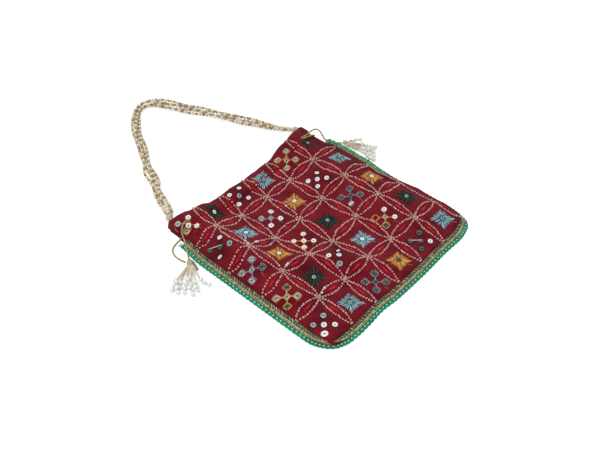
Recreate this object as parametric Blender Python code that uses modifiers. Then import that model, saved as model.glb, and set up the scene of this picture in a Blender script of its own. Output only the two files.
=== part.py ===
"""Embroidered drawstring pouch (potli bag) lying flat on a table.

Metres, +Z up. X runs along the mouth, Y from the bottom seam to the mouth, Z = 0 is the
table. The back panel lies flat, the front panel is puffed into two soft rolls, and the
beaded handle and the tassels lie on the table beside the bag.
"""
import math

import bmesh
import bpy
from mathutils import Vector
from mathutils.bvhtree import BVHTree

MM = 0.001

# Cloth pouch
HALF_WIDTH = 104 * MM          # side seam, under the braid
MOUTH_HALF_WIDTH = HALF_WIDTH - 6 * MM   # side edge of the casing, where the cords turn
BOTTOM_SEAM = -106.2 * MM      # Y of the bottom seam
CORNER_CUT = 3 * MM            # taken off the bottom corners, inside the trims' curve
SEAM_ALLOWANCE = 4.4 * MM      # flat margin under the braid
SEAM_SLOPE = 3.1 * MM          # the cloth rises from it over this width
MOUTH_Y = 98 * MM              # Y of the mouth fold at mid width
CORNER_RISE_LEFT = 11 * MM     # how far the mouth's corners reach past its middle
CORNER_RISE_RIGHT = 13.1 * MM
CORNER_BEND_LEFT = 6.0         # power of the mouth line towards each corner
CORNER_BEND_RIGHT = 2.2
TRIM_END_Y = 79 * MM           # the side trims stop here, below the casing
PANEL_T = 0.9 * MM             # embroidered cloth
LINING_T = 0.5 * MM
GAP = 0.3 * MM                 # between pieces that touch
LINING_DROP = 1.25 * MM        # front cloth's middle down to the lining's middle
LINING_SIDE = HALF_WIDTH - 9 * MM
LINING_BOTTOM = BOTTOM_SEAM + 12.2 * MM
LINING_TOP_SHARE = 0.3         # it stops short of the hem, between two rows of the panel
LINING_EASE = 4 * MM           # its back layer is wider on each side by this

# Height of the puffed front: its flat level, two rolls and one crease
FLAT_TOP = 4.9 * MM
ROLL_LEFT = dict(x=-75 * MM, y=22 * MM, wide=16 * MM, long=68 * MM, high=11 * MM)
ROLL_RIGHT = dict(x=70 * MM, y=0 * MM, wide=32 * MM, long=72 * MM, high=11.5 * MM)
CREASE = dict(x=-28 * MM, y=-43 * MM, wide=14 * MM, long=46 * MM, high=7 * MM)
CREASE_ANGLE = math.radians(-48.6)
SIDE_SLOPE = 18 * MM           # width of the slopes down to the seams
BOTTOM_SLOPE = 20 * MM

# Drawstring casing: the panel turned in at the mouth
CASING_TOP = 8.9 * MM          # where the casing's layers lie on each other
CHANNEL = 2.4 * MM             # clear height for the two cords
CASING_CORD_GAP = 2.5 * MM     # pitch of the two cords in the casing
GAPE_LEFT = dict(x=-71 * MM, wide=17 * MM, high=5.6 * MM)
GAPE_RIGHT = dict(x=62 * MM, wide=20 * MM, high=6.4 * MM)
GAPE_FADE = (56 * MM, 84 * MM)  # below the casing the gape dies out between these Y
GAPE_SHARE = 0.7               # how much of it the cloth just below the casing takes
HEM_LOWER = 18 * MM            # depth of the turned hem
HEM_SLOPE = 4.5 * MM           # the casing rises from the body over this width
HEM_STITCH = 14 * MM           # from this depth on the hem is stitched to the panel
HEM_STITCH_SLOPE = 3.2 * MM
FOLD_WIDE = 3.5 * MM           # rounded edge of the mouth
FOLD_DIP = 1.9 * MM
CORD_DEPTH = 9.4 * MM          # middle of the two cords below the mouth fold
EYELET_R = 1.7 * MM
EYELET_LEFT_X = -85 * MM
EYELET_RIGHT_X = 82 * MM

# Embroidery grid on the front
COLUMNS = 6
ROWS = 5
GRID_HALF = HALF_WIDTH - 4 * MM
GRID_BOTTOM = BOTTOM_SEAM + 5.2 * MM
ROW_LINE_1 = 64 * MM
TOP_ROW_SHARE = 0.76           # the top row is folded in at the mouth
PULL_X = -5 * MM               # the middle of the grid is pulled a little aside
PULL_Y = -3 * MM
TOP_MOTIF_ROW = 0.56           # place of the folded top row's motifs
PETAL_HALF_WIDTH = 4.4 * MM
PETAL_NECK = 1.3 * MM          # half width where a petal meets its knot
PETAL_END_SHARE = 0.06         # open ends stop short of the grid's edge by this share
PETAL_EDGE = 0.4 * MM
PETAL_HIGH = 1.0 * MM
KNOT_R = 2.6 * MM
KNOT_HIGH = 1.4 * MM
SEQUIN_R = 3.1 * MM
SEQUIN_HIGH = 0.9 * MM
FLOWER_REACH = 8.8 * MM        # flower's middle to each outer sequin
STAR_REACH = 11.6 * MM
STAR_WAIST = 0.5
STAR_TURN = 0.78
STAR_HIGH = 1.4 * MM
SEAT = 0.35 * MM               # embroidery's clearance over the cloth

# Trims
BRAID_IN = HALF_WIDTH - 4 * MM
BRAID_OUT = HALF_WIDTH + 0.9 * MM
BRAID_HIGH = 1.3 * MM
LACE_IN = BRAID_OUT + GAP
LACE_WIDE = 4.2 * MM
LACE_LOW = 0.3 * MM
LACE_HIGH = 1.5 * MM
TRIM_DROP = 2.2 * MM           # bottom trims' edge past the side trims' edge
TRIM_CORNER = HALF_WIDTH - 5.6 * MM   # X of the corners' centres

# Cords and beads
CORD_D = 1.8 * MM
STRANDS = 5
STRAND_D = 3.0 * MM
STRAND_RING = 3.0 * MM         # strands' centres around the handle's middle
HANDLE_TWIST = 230 * MM        # length of one turn
HANDLE_CROWD = 0.07            # its points lie closer together round the bend
BINDING_R = 4.2 * MM           # thread wrap at the strands' ends, and at the mouth
BINDING_MOUTH_R = 2.2 * MM
BINDING_GAP = 0.6 * MM
BINDING_LONG = {"left": 7.9 * MM, "right": 5.8 * MM}
PEARL_R = 2.0 * MM
THREAD_R = 0.5 * MM
STRING_SIDES = 5
KNOT_WRAP_R = 2.6 * MM
STRING_ROOT = 7.1 * MM          # bare thread from the knot

# The drawstrings' free ends, as (x, y, z) in millimetres
LEFT_FRONT = [(-85, 92, 12.1), (-85.4, 91.9, 14.4), (-87.2, 90.6, 15.8), (-90, 87.8, 14.8),
              (-93.2, 84.8, 11.8), (-96.8, 81.2, 8.4), (-100.8, 76.6, 6.0), (-105.8, 70.4, 4.5),
              (-110.4, 64.2, 2.8), (-113.1, 59.35, 1.85)]
LEFT_SIDE = [(-99.2, 98.6, 2.1), (-101.6, 95, 1.5), (-104, 90, 1.0), (-108, 86, 1.0),
             (-113, 81.5, 1.0), (-116.4, 76, 1.0), (-117.4, 69.5, 1.0), (-117.2, 63.5, 1.1),
             (-116.1, 58.8, 1.65)]
RIGHT_FRONT = [(82, 98.7, 11.6), (82.6, 98.7, 13.2), (86, 99.3, 13.4), (92, 99.9, 11.8),
               (98.5, 98.9, 10.4), (104, 96.2, 7.0), (107.6, 91.4, 3.6), (110.4, 85.5, 1.3),
               (113.4, 79, 1.0), (115.3, 73.48, 1.65)]
RIGHT_SIDE = [(99.2, 102.8, 2.1), (102.8, 101.8, 1.3), (107, 98.6, 1.0), (112.4, 92.6, 1.0),
              (117.4, 84.5, 1.0), (119.3, 77.6, 1.1), (118.4, 72.9, 1.6)]

# The beaded handle's middle, as (x, y) in millimetres, from corner to corner
HANDLE_ROUTE = [(-88.5, 113.5), (-84.5, 119), (-79, 133), (-71, 150), (-61, 169), (-50.5, 190),
                (-39.5, 211), (-28, 232), (-16.5, 250), (-4, 264), (9, 271), (19, 268.5),
                (26, 261), (31.5, 249), (38, 233), (46, 215), (54.5, 196), (63, 177.5),
                (70.5, 159), (77, 142), (84.5, 127.5), (92, 116.5)]

# Tassels, in millimetres: the knot, then each string's direction from it in degrees and
# its pearls
LEFT_KNOT = (-114.2, 56.6)
RIGHT_KNOT = (116.4, 70.8)
LEFT_STRINGS = [
    (196, [(-137, 51), (-142, 47.4), (-148, 45), (-146, 38.6), (-140.4, 41), (-136.2, 45)]),
    (221, [(-133.6, 39.6), (-138.4, 36.6), (-142, 33)]),
    (245, [(-126.4, 36.6), (-130.4, 35.2), (-134.2, 32), (-137.8, 27.6), (-132.4, 26.6),
           (-129, 30.6)]),
    (269, [(-120, 34.4), (-121.4, 29.4), (-120, 24)])]
RIGHT_STRINGS = [
    (-28, [(129, 63), (132.4, 58.4), (131, 53)]),
    (-53, [(125.2, 54.8), (126.4, 49.6), (127.4, 44.2)]),
    (-78, [(120.4, 49), (121.6, 43.6), (118.4, 38.8), (123.4, 37.2)]),
    (-103, [(114.6, 44), (114.2, 37.6), (115.4, 32.2), (120, 29.6), (116.4, 25.2), (121, 21.8)])]


def bump(t):
    return math.exp(-t * t)


def ease(t):
    t = min(max(t, 0.0), 1.0)
    return t * t * (3 - 2 * t)


def mix(a, b, t):
    return a + (b - a) * t


def roll(x, y, r):
    return r["high"] * bump((x - r["x"]) / r["wide"]) * bump((y - r["y"]) / r["long"])


def gape(x):
    """Rise of the mouth where it stands open, left and right of the drawn middle."""
    return sum(g["high"] * bump(((x - g["x"]) / g["wide"]) ** 2) for g in (GAPE_LEFT, GAPE_RIGHT))


def body_top(x, y):
    """Top of the front cloth below the casing."""
    dx = x - CREASE["x"]
    dy = y - CREASE["y"]
    along = dx * math.cos(CREASE_ANGLE) + dy * math.sin(CREASE_ANGLE)
    across = dy * math.cos(CREASE_ANGLE) - dx * math.sin(CREASE_ANGLE)
    crease = CREASE["high"] * bump(along / CREASE["long"]) * bump(across / CREASE["wide"])
    slope = ease((GRID_HALF - abs(x)) / SIDE_SLOPE) * ease((y - GRID_BOTTOM) / BOTTOM_SLOPE)
    opened = GAPE_SHARE * gape(x) * ease((y - GAPE_FADE[0]) / (GAPE_FADE[1] - GAPE_FADE[0]))
    return FLAT_TOP + slope * (roll(x, y, ROLL_LEFT) + roll(x, y, ROLL_RIGHT) + crease + opened)


def mouth_y(x):
    u = x / MOUTH_HALF_WIDTH
    if u < 0:
        return MOUTH_Y + CORNER_RISE_LEFT * (-u) ** CORNER_BEND_LEFT
    return MOUTH_Y + CORNER_RISE_RIGHT * u ** CORNER_BEND_RIGHT


def casing_top(x):
    return CASING_TOP + gape(x)


# Stations across the panel, and rows from the bottom seam to the mouth. A row's second value
# says how far it follows the mouth's corners.
SEAM_IN = HALF_WIDTH - SEAM_ALLOWANCE
SLOPE_IN = SEAM_IN - SEAM_SLOPE
STATIONS = ([-HALF_WIDTH, -SEAM_IN, -SLOPE_IN]
            + [x * MM for x in (-88, -80, -72, -62, -48, -32, -14, 10, 34, 54, 70, 84)]
            + [SLOPE_IN, SEAM_IN, HALF_WIDTH])
EDGE_STATION = HALF_WIDTH - 14 * MM
BOTTOM_IN = BOTTOM_SEAM + SEAM_ALLOWANCE
BODY_ROWS = ([(BOTTOM_SEAM, 0), (BOTTOM_IN, 0), (BOTTOM_IN + SEAM_SLOPE, 0)]
             + [(y * MM, 0) for y in (-88, -74, -60, -46, -32, -16, 4, 26, 48)]
             + [(MOUTH_Y - 36 * MM, 0.1), (MOUTH_Y - 23.8 * MM, 0.45)])
FOLD_ROW = (MOUTH_Y - 0.8 * MM, 1)
CASING_ROWS = [(MOUTH_Y - 20 * MM, 0.7), (MOUTH_Y - 16.5 * MM, 0.9), (MOUTH_Y - 13.5 * MM, 1),
               (MOUTH_Y - 4 * MM, 1), FOLD_ROW]
HEM_ROWS = [(MOUTH_Y - 5 * MM, 1), (MOUTH_Y - 13.5 * MM, 1), (MOUTH_Y - HEM_LOWER, 0.9)]


def station_x(x, row):
    """X of a station in a row: narrower along the casing, cut at the bottom corners."""
    if row is BODY_ROWS[0]:
        x = max(-HALF_WIDTH + CORNER_CUT, min(HALF_WIDTH - CORNER_CUT, x))
    if row not in BODY_ROWS and abs(x) > EDGE_STATION:
        share = (MOUTH_HALF_WIDTH - EDGE_STATION) / (HALF_WIDTH - EDGE_STATION)
        x = math.copysign(EDGE_STATION + (abs(x) - EDGE_STATION) * share, x)
    return x


def row_y(row, x):
    return row[0] + row[1] * (mouth_y(x) - MOUTH_Y)


def casing_level(x):
    """The casing's height as the panel has it, straight from one station to the next."""
    stations = [station_x(s, FOLD_ROW) for s in STATIONS]
    for a, b in zip(stations, stations[1:]):
        if a <= x <= b:
            return mix(casing_top(a), casing_top(b), (x - a) / (b - a))
    return CASING_TOP


def seam_blend(x, y):
    """0 on the flat seam allowance, 1 on the puffed cloth inside it."""
    inside_x = (HALF_WIDTH - SEAM_ALLOWANCE - abs(x)) / SEAM_SLOPE
    inside_y = (y - BOTTOM_SEAM - SEAM_ALLOWANCE) / SEAM_SLOPE
    return ease(min(inside_x, inside_y))


def front_mid(x, row):
    """Middle surface of the front cloth's outer layer."""
    y = row_y(row, x)
    seam_mid = PANEL_T + GAP + PANEL_T / 2
    if row in BODY_ROWS:
        return mix(seam_mid, body_top(x, y) - PANEL_T / 2, seam_blend(x, y))
    depth = mouth_y(x) - y
    body = body_top(x, y) - PANEL_T / 2
    casing = casing_top(x) - PANEL_T / 2
    raised = mix(body, casing, ease((HEM_LOWER - depth) / HEM_SLOPE))
    return raised - FOLD_DIP * ease((FOLD_WIDE - depth) / FOLD_WIDE)


def hem_mid(x, row, outer_mid):
    """Middle surface of the turned hem, under the outer layer."""
    depth = mouth_y(x) - row_y(row, x)
    stitched = outer_mid - PANEL_T - GAP
    level = casing_top(x) - PANEL_T / 2 - CHANNEL - PANEL_T
    return mix(level, stitched, ease((depth - HEM_STITCH) / HEM_STITCH_SLOPE))


def new_object(name, mesh, material, smooth=True):
    obj = bpy.data.objects.new(name, mesh)
    BAG.objects.link(obj)
    mesh.materials.append(material)
    if smooth:
        mesh.shade_smooth()
    return obj


def grid_mesh(name, rows):
    """A sheet lofted through rows of points."""
    bm = bmesh.new()
    lines = [[bm.verts.new(p) for p in row] for row in rows]
    for low, high in zip(lines, lines[1:]):
        for k in range(len(low) - 1):
            bm.faces.new((low[k], low[k + 1], high[k + 1], high[k]))
    mesh = bpy.data.meshes.new(name)
    bm.to_mesh(mesh)
    bm.free()
    return mesh


def thicken(obj, thickness):
    solid = obj.modifiers.new("Cloth thickness", "SOLIDIFY")
    solid.thickness = thickness
    solid.offset = 0
    return solid


def material(name, colour, roughness=0.8, metallic=0.0):
    mat = bpy.data.materials.new(name)
    mat.use_nodes = True
    shader = mat.node_tree.nodes["Principled BSDF"]
    shader.inputs["Base Color"].default_value = (*colour, 1)
    shader.inputs["Roughness"].default_value = roughness
    shader.inputs["Metallic"].default_value = metallic
    mat.diffuse_color = (*colour, 1)
    return mat


def front_panel():
    rows = []
    for row in BODY_ROWS + CASING_ROWS:
        xs = [station_x(s, row) for s in STATIONS]
        rows.append([(x, row_y(row, x), front_mid(x, row)) for x in xs])
    xs = [station_x(s, FOLD_ROW) for s in STATIONS]
    level = [hem_mid(x, FOLD_ROW, 0) for x in xs]
    rows.append([(x, mouth_y(x), z + 0.75 * MM) for x, z in zip(xs, level)])
    rows.append([(x, row_y(FOLD_ROW, x), z) for x, z in zip(xs, level)])
    for row in HEM_ROWS:
        rows.append([(x, row_y(row, x), hem_mid(x, row, front_mid(x, row))) for x in xs])
    obj = new_object("front_panel", grid_mesh("front_panel", rows), CLOTH)
    thicken(obj, PANEL_T)
    for name, x in (("left", EYELET_LEFT_X), ("right", EYELET_RIGHT_X)):
        cut_eyelet(obj, name, x)
    return obj


def cut_eyelet(obj, name, x):
    bpy.ops.mesh.primitive_cylinder_add(
        vertices=10, radius=EYELET_R, depth=CHANNEL,
        location=(x, mouth_y(x) - cord_depth(name), casing_level(x)))
    cutter = bpy.context.object
    cutter.name = "eyelet_cutter_" + name
    cutter.hide_render = True
    cutter.display_type = "WIRE"
    for collection in list(cutter.users_collection):
        collection.objects.unlink(cutter)
    CUTTERS.objects.link(cutter)
    cut = obj.modifiers.new("Eyelet " + name, "BOOLEAN")
    cut.operation = "DIFFERENCE"
    cut.solver = "EXACT"
    cut.object = cutter


def back_panel():
    """Flat cloth with the same outline and its own turned hem."""
    stations = ([-HALF_WIDTH, -SLOPE_IN] + [x * MM for x in (-86, -66, -30, 10, 45, 70, 88)]
                + [SLOPE_IN, HALF_WIDTH])
    mid = PANEL_T / 2
    hem = mid + CHANNEL + PANEL_T
    stitched = mid + PANEL_T + GAP
    rows = []
    for row in (BODY_ROWS[0], BODY_ROWS[1], BODY_ROWS[-1]):
        xs = [station_x(s, row) for s in stations]
        rows.append([(x, row_y(row, x), mid) for x in xs])
    xs = [station_x(s, FOLD_ROW) for s in stations]
    for depth, follow, z in ((20, 0.7, mid), (2.4, 1, mid), (0.8, 1, hem - 1.3 * MM),
                             (0.4, 1, hem - 0.6 * MM), (0.8, 1, hem), (5, 1, hem),
                             (13.5, 1, hem), (16.5, 0.95, stitched), (18, 0.9, stitched)):
        rows.append([(x, row_y((MOUTH_Y - depth * MM, follow), x), z) for x in xs])
    obj = new_object("back_panel", grid_mesh("back_panel", rows), CLOTH_BACK)
    thicken(obj, PANEL_T)
    return obj


def lining():
    """Inner pouch: a front layer that follows the puffed panel, closed to a flat back layer."""
    back_z = PANEL_T + GAP + LINING_T / 2
    bm = bmesh.new()
    lines = []
    for row in [r for r in BODY_ROWS if r[0] > LINING_BOTTOM] + CASING_ROWS[:2]:
        line = []
        for s in STATIONS[3:-3]:
            x = station_x(s, row)
            y, z = row_y(row, x), front_mid(x, row)
            if row is CASING_ROWS[1]:
                before = CASING_ROWS[0]
                y = mix(row_y(before, x), y, LINING_TOP_SHARE)
                z = mix(front_mid(x, before), z, LINING_TOP_SHARE)
            line.append(bm.verts.new((x, y, z - LINING_DROP)))
        lines.append(line)
    for low, high in zip(lines, lines[1:]):
        for k in range(len(low) - 1):
            bm.faces.new((low[k], low[k + 1], high[k + 1], high[k]))
    rim = [line[0] for line in reversed(lines)] + lines[0][1:-1] + [line[-1] for line in lines]
    under = []
    for vert in rim:
        out = Vector((vert.co.x, vert.co.y, back_z))
        if vert in lines[0]:
            out.y = LINING_BOTTOM
        if vert is rim[0] or vert in (line[0] for line in lines):
            out.x = max(-LINING_SIDE, out.x - LINING_EASE)
        if vert in (line[-1] for line in lines):
            out.x = min(LINING_SIDE, out.x + LINING_EASE)
        under.append(bm.verts.new(out))
    for k in range(len(rim) - 1):
        bm.faces.new((rim[k], rim[k + 1], under[k + 1], under[k]))
    mouth = [bm.verts.new((v.co.x, v.co.y, back_z)) for v in reversed(lines[-1][1:-1])]
    bm.faces.new(under + mouth)
    bmesh.ops.recalc_face_normals(bm, faces=bm.faces)
    mesh = bpy.data.meshes.new("lining")
    bm.to_mesh(mesh)
    bm.free()
    obj = new_object("lining", mesh, LINING)
    thicken(obj, LINING_T)
    return obj


def height_finder(obj):
    """Returns a function giving the cloth's top height at (x, y)."""
    evaluated = obj.evaluated_get(bpy.context.evaluated_depsgraph_get())
    bm = bmesh.new()
    bm.from_mesh(evaluated.to_mesh())
    tree = BVHTree.FromBMesh(bm)
    bm.free()
    evaluated.to_mesh_clear()

    def height(x, y):
        hit = tree.ray_cast(Vector((x, y, 0.1)), Vector((0, 0, -1)))[0]
        return hit.z if hit else FLAT_TOP
    return height


def grid_point(column, row):
    """Place of the embroidery grid at a column line and a row line, halves for middles."""
    u = column / (COLUMNS / 2) - 1
    x = GRID_HALF * u + PULL_X * (1 - u * u)
    if row < 1:
        return x, ROW_LINE_1 + (mouth_y(x) - ROW_LINE_1) * (1 - row) / TOP_ROW_SHARE
    w = (ROWS - row) / (ROWS - 1)
    return x, mix(GRID_BOTTOM, ROW_LINE_1, w) + PULL_Y * 4 * w * (1 - w)


class Slab:
    """Low relief that lies on the cloth: flat polygons given a raised top and side walls."""

    def __init__(self):
        self.points = []
        self.heights = []
        self.triangles = []

    def point(self, x, y, high):
        self.points.append((x, y))
        self.heights.append(high)
        return len(self.points) - 1

    def face(self, *corners):
        for k in range(1, len(corners) - 1):
            self.triangles.append((corners[0], corners[k], corners[k + 1]))

    def fan(self, middle, ring):
        for k, corner in enumerate(ring):
            self.triangles.append((middle, corner, ring[(k + 1) % len(ring)]))

    def seat_heights(self):
        """Base heights that stay clear of the cloth between the points too."""
        base = [HEIGHT(x, y) + SEAT for x, y in self.points]
        parts = [(i / 4, j / 4, 1 - (i + j) / 4) for i in range(5) for j in range(5 - i)]
        for _ in range(3):
            raised = list(base)
            for corners in self.triangles:
                for weights in parts:
                    x, y, z = 0.0, 0.0, 0.0
                    for w, c in zip(weights, corners):
                        x += w * self.points[c][0]
                        y += w * self.points[c][1]
                        z += w * base[c]
                    short = HEIGHT(x, y) + SEAT - z
                    if short > 0:
                        for c in corners:
                            raised[c] = max(raised[c], base[c] + short)
            base = raised
        return base

    def finish(self, name, mat):
        base = self.seat_heights()
        bm = bmesh.new()
        low = [bm.verts.new((x, y, z)) for (x, y), z in zip(self.points, base)]
        high = [bm.verts.new((x, y, z + h))
                for (x, y), z, h in zip(self.points, base, self.heights)]
        edges = {}
        for a, b, c in self.triangles:
            bm.faces.new((low[c], low[b], low[a]))
            bm.faces.new((high[a], high[b], high[c]))
            for edge in ((a, b), (b, c), (c, a)):
                edges[edge] = True
        for a, b in edges:
            if (b, a) not in edges:
                bm.faces.new((low[a], low[b], high[b], high[a]))
        mesh = bpy.data.meshes.new(name)
        bm.to_mesh(mesh)
        bm.free()
        return new_object(name, mesh, mat, smooth=False)


PETAL_SHARES = (0.32, 0.68)


def petal_lines():
    """Pairs of grid points that a petal joins, first along the rows, then along the columns."""
    for row in range(1, ROWS):
        for column in range(COLUMNS):
            yield (column, row), (column + 1, row)
    for column in range(1, COLUMNS):
        for row in range(ROWS):
            top = 1 - TOP_ROW_SHARE if row == 0 else row
            yield (column, top), (column, row + 1)


def petal_lattice():
    """Beaded petals along every grid line, joined by the knots where four of them meet."""
    slab = Slab()
    sides = {}
    for column in range(1, COLUMNS):
        for row in range(1, ROWS):
            sides.update(knot(slab, column, row))
    for start, end in petal_lines():
        petal(slab, start, end, sides)
    return slab.finish("petal_lattice", BEADING)


def knot(slab, column, row):
    """A raised octagon. Returns the three points of each side that carries a petal."""
    x, y = grid_point(column, row)
    middle = slab.point(x, y, KNOT_HIGH)
    ring = []
    sides = {}
    for k, (dx, dy) in enumerate(((1, 0), (0, -1), (-1, 0), (0, 1))):
        px, py = grid_point(column + dx, row + dy if row + dy > 0 else 1 - TOP_ROW_SHARE)
        out = Vector((px - x, py - y)).normalized()
        side = Vector((-out.y, out.x))
        place = Vector((x, y)) + out * KNOT_R
        trio = [slab.point(*(place + side * PETAL_NECK * s), PETAL_EDGE if s else PETAL_HIGH)
                for s in (-1, 0, 1)]
        sides[(column, row), (dx, dy)] = trio
        ring += trio
    slab.fan(middle, ring)
    return sides


def petal(slab, start, end, sides):
    a, b = Vector(grid_point(*start)), Vector(grid_point(*end))
    along = b - a
    side = Vector((-along.y, along.x)).normalized()
    step = (1, 0) if start[1] == end[1] else (0, 1)
    rows = []
    first = sides.get((start, step))
    last = sides.get((end, (-step[0], -step[1])))
    if first is None:
        first = petal_end(slab, a + along * PETAL_END_SHARE, side)
    rows.append(first)
    for share in PETAL_SHARES:
        wide = PETAL_HALF_WIDTH * math.sin(math.pi * share) ** 0.5
        place = a + along * share
        rows.append([slab.point(*(place + side * wide * s), PETAL_EDGE if s else PETAL_HIGH)
                     for s in (-1, 0, 1)])
    if last is None:
        last = petal_end(slab, b - along * PETAL_END_SHARE, side)
    else:
        last = last[::-1]
    rows.append(last)
    for one, two in zip(rows, rows[1:]):
        slab.face(one[0], two[0], two[1], one[1])
        slab.face(one[1], two[1], two[2], one[2])


def petal_end(slab, place, side):
    return [slab.point(*(place + side * PETAL_NECK * s), PETAL_EDGE) for s in (-1, 0, 1)]


def polygon(x, y, radius, sides, turn=0.0):
    angles = [turn + 2 * math.pi * k / sides for k in range(sides)]
    return [(x + radius * math.cos(a), y + radius * math.sin(a)) for a in angles]


# Each flower has a middle sequin and four around it, held by crossing threads. The lost
# sequins stay lost: (column, row) and which.
SEQUIN_TURNS = {"right": -0.8, "top": 0.78, "left": -0.8 + math.pi, "bottom": 0.78 + math.pi}
LOST = {(1, 2): "left", (3, 4): "right", (5, 4): "left"}


def flower(column, row):
    slab = Slab()
    x, y = grid_point(column - 0.5, max(row - 0.5, TOP_MOTIF_ROW))
    middle = [slab.point(px, py, SEQUIN_HIGH)
              for px, py in polygon(x, y, SEQUIN_R, 4, SEQUIN_TURNS["right"] - math.pi / 4)]
    slab.face(*middle)
    for k, (name, turn) in enumerate(SEQUIN_TURNS.items()):
        if LOST.get((column, row)) == name:
            continue
        inner, outer = middle[k], middle[(k + 1) % 4]
        cx = x + FLOWER_REACH * math.cos(turn)
        cy = y + FLOWER_REACH * math.sin(turn)
        ring = [slab.point(px, py, SEQUIN_HIGH)
                for px, py in polygon(cx, cy, SEQUIN_R, 5, turn + math.pi + math.pi / 5)]
        slab.face(*ring)
        slab.face(inner, ring[0], ring[4], outer)
    return slab.finish(f"flower_{column}_{row}", SEQUIN)


def star(column, row):
    """Radiating stitches with four long points."""
    slab = Slab()
    x, y = grid_point(column - 0.5, max(row - 0.5, TOP_MOTIF_ROW))
    ring = []
    for k in range(8):
        angle = STAR_TURN + math.pi * k / 4
        reach = STAR_REACH if k % 2 == 0 else STAR_REACH * STAR_WAIST
        ring.append(slab.point(x + reach * math.cos(angle), y + reach * math.sin(angle), PETAL_EDGE))
    slab.fan(slab.point(x, y, STAR_HIGH), ring)
    return slab.finish(f"star_{column}_{row}", STAR[(row + (column + 2) // 2 % 2) % 3])


def embroidery():
    petal_lattice()
    for column in range(1, COLUMNS + 1):
        for row in range(1, ROWS + 1):
            if column % 2:
                flower(column, row)
            else:
                star(column, row)


def trim_path(side):
    """A U along the left side, the bottom and the right side, with concentric corners."""
    x, y = side, -side - TRIM_DROP
    radius = side - TRIM_CORNER
    points = [Vector((-x, TRIM_END_Y))]
    count = 8
    for k in range(1, count):
        points.append(Vector((-x, mix(TRIM_END_Y, y + radius, k / count))))
    for k in range(5):
        a = math.pi + math.pi / 2 * k / 4
        points.append(Vector((-x + radius + radius * math.cos(a), y + radius + radius * math.sin(a))))
    for k in range(1, count):
        points.append(Vector((mix(-x + radius, x - radius, k / count), y)))
    for k in range(5):
        a = math.pi * 1.5 + math.pi / 2 * k / 4
        points.append(Vector((x - radius + radius * math.cos(a), y + radius + radius * math.sin(a))))
    for k in range(1, count + 1):
        points.append(Vector((x, mix(y + radius, TRIM_END_Y, k / count))))
    return points


def resample(points, count, crowd=0.0):
    """Points along a path, evenly spaced or crowded towards its middle."""
    lengths = [0.0]
    for a, b in zip(points, points[1:]):
        lengths.append(lengths[-1] + (b - a).length)
    out = []
    k = 0
    for n in range(count):
        t = n / (count - 1)
        target = lengths[-1] * (t + crowd * math.sin(2 * math.pi * t))
        while k < len(points) - 2 and lengths[k + 1] < target:
            k += 1
        span = max(lengths[k + 1] - lengths[k], 1e-9)
        out.append(points[k].lerp(points[k + 1], (target - lengths[k]) / span))
    return out


def swept_band(name, inner, outer, low, high, mat):
    """A flat band between two matching paths."""
    bm = bmesh.new()
    rings = []
    for a, b in zip(inner, outer):
        ring = [(a.x, a.y, low), (a.x, a.y, high), (b.x, b.y, high), (b.x, b.y, low)]
        rings.append([bm.verts.new(p) for p in ring])
    sides = len(rings[0])
    for one, two in zip(rings, rings[1:]):
        for k in range(sides):
            n = (k + 1) % sides
            bm.faces.new((one[k], one[n], two[n], two[k]))
    bm.faces.new(rings[0])
    bm.faces.new(rings[-1])
    bmesh.ops.recalc_face_normals(bm, faces=bm.faces)
    mesh = bpy.data.meshes.new(name)
    bm.to_mesh(mesh)
    bm.free()
    return new_object(name, mesh, mat, smooth=False)


def trims():
    low = PANEL_T * 2 + GAP * 2
    swept_band("braid_trim", trim_path(BRAID_IN), trim_path(BRAID_OUT), low, low + BRAID_HIGH, BRAID)
    swept_band("lace_edging", trim_path(LACE_IN), trim_path(LACE_IN + LACE_WIDE), LACE_LOW, LACE_HIGH, LACE)


def smooth_curve(points, count, crowd=0.0):
    """Points on a smooth curve through the route's own points."""
    pts = [Vector(p) for p in points]
    pts = [pts[0] * 2 - pts[1]] + pts + [pts[-1] * 2 - pts[-2]]
    fine = []
    for k in range(1, len(pts) - 2):
        a, b, c, d = pts[k - 1:k + 3]
        for n in range(12):
            t = n / 12
            fine.append(0.5 * (2 * b + (c - a) * t + (2 * a - 5 * b + 4 * c - d) * t ** 2
                               + (3 * b - a - 3 * c + d) * t ** 3))
    fine.append(pts[-2])
    return resample(fine, count, crowd)


def tube(name, points, diameter, mat):
    curve = bpy.data.curves.new(name, "CURVE")
    curve.dimensions = "3D"
    curve.bevel_depth = diameter / 2
    curve.bevel_resolution = 2
    curve.use_fill_caps = True
    spline = curve.splines.new("POLY")
    spline.points.add(len(points) - 1)
    for point, co in zip(spline.points, points):
        point.co = (*co, 1)
    obj = bpy.data.objects.new(name, curve)
    BAG.objects.link(obj)
    curve.materials.append(mat)
    return obj


def millimetres(points):
    return [tuple(v * MM for v in p) for p in points]


def cord_depth(side):
    """Depth of a drawstring's run below the mouth fold, in the channel that both share."""
    return CORD_DEPTH + (CASING_CORD_GAP / 2 if side == "left" else -CASING_CORD_GAP / 2)


# The hidden runs bend at the panel's own stations
RUN_STATIONS = (-93.7, -80, -72, -62, -48, -32, 34, 54, 70, 84, 93.7)


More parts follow.
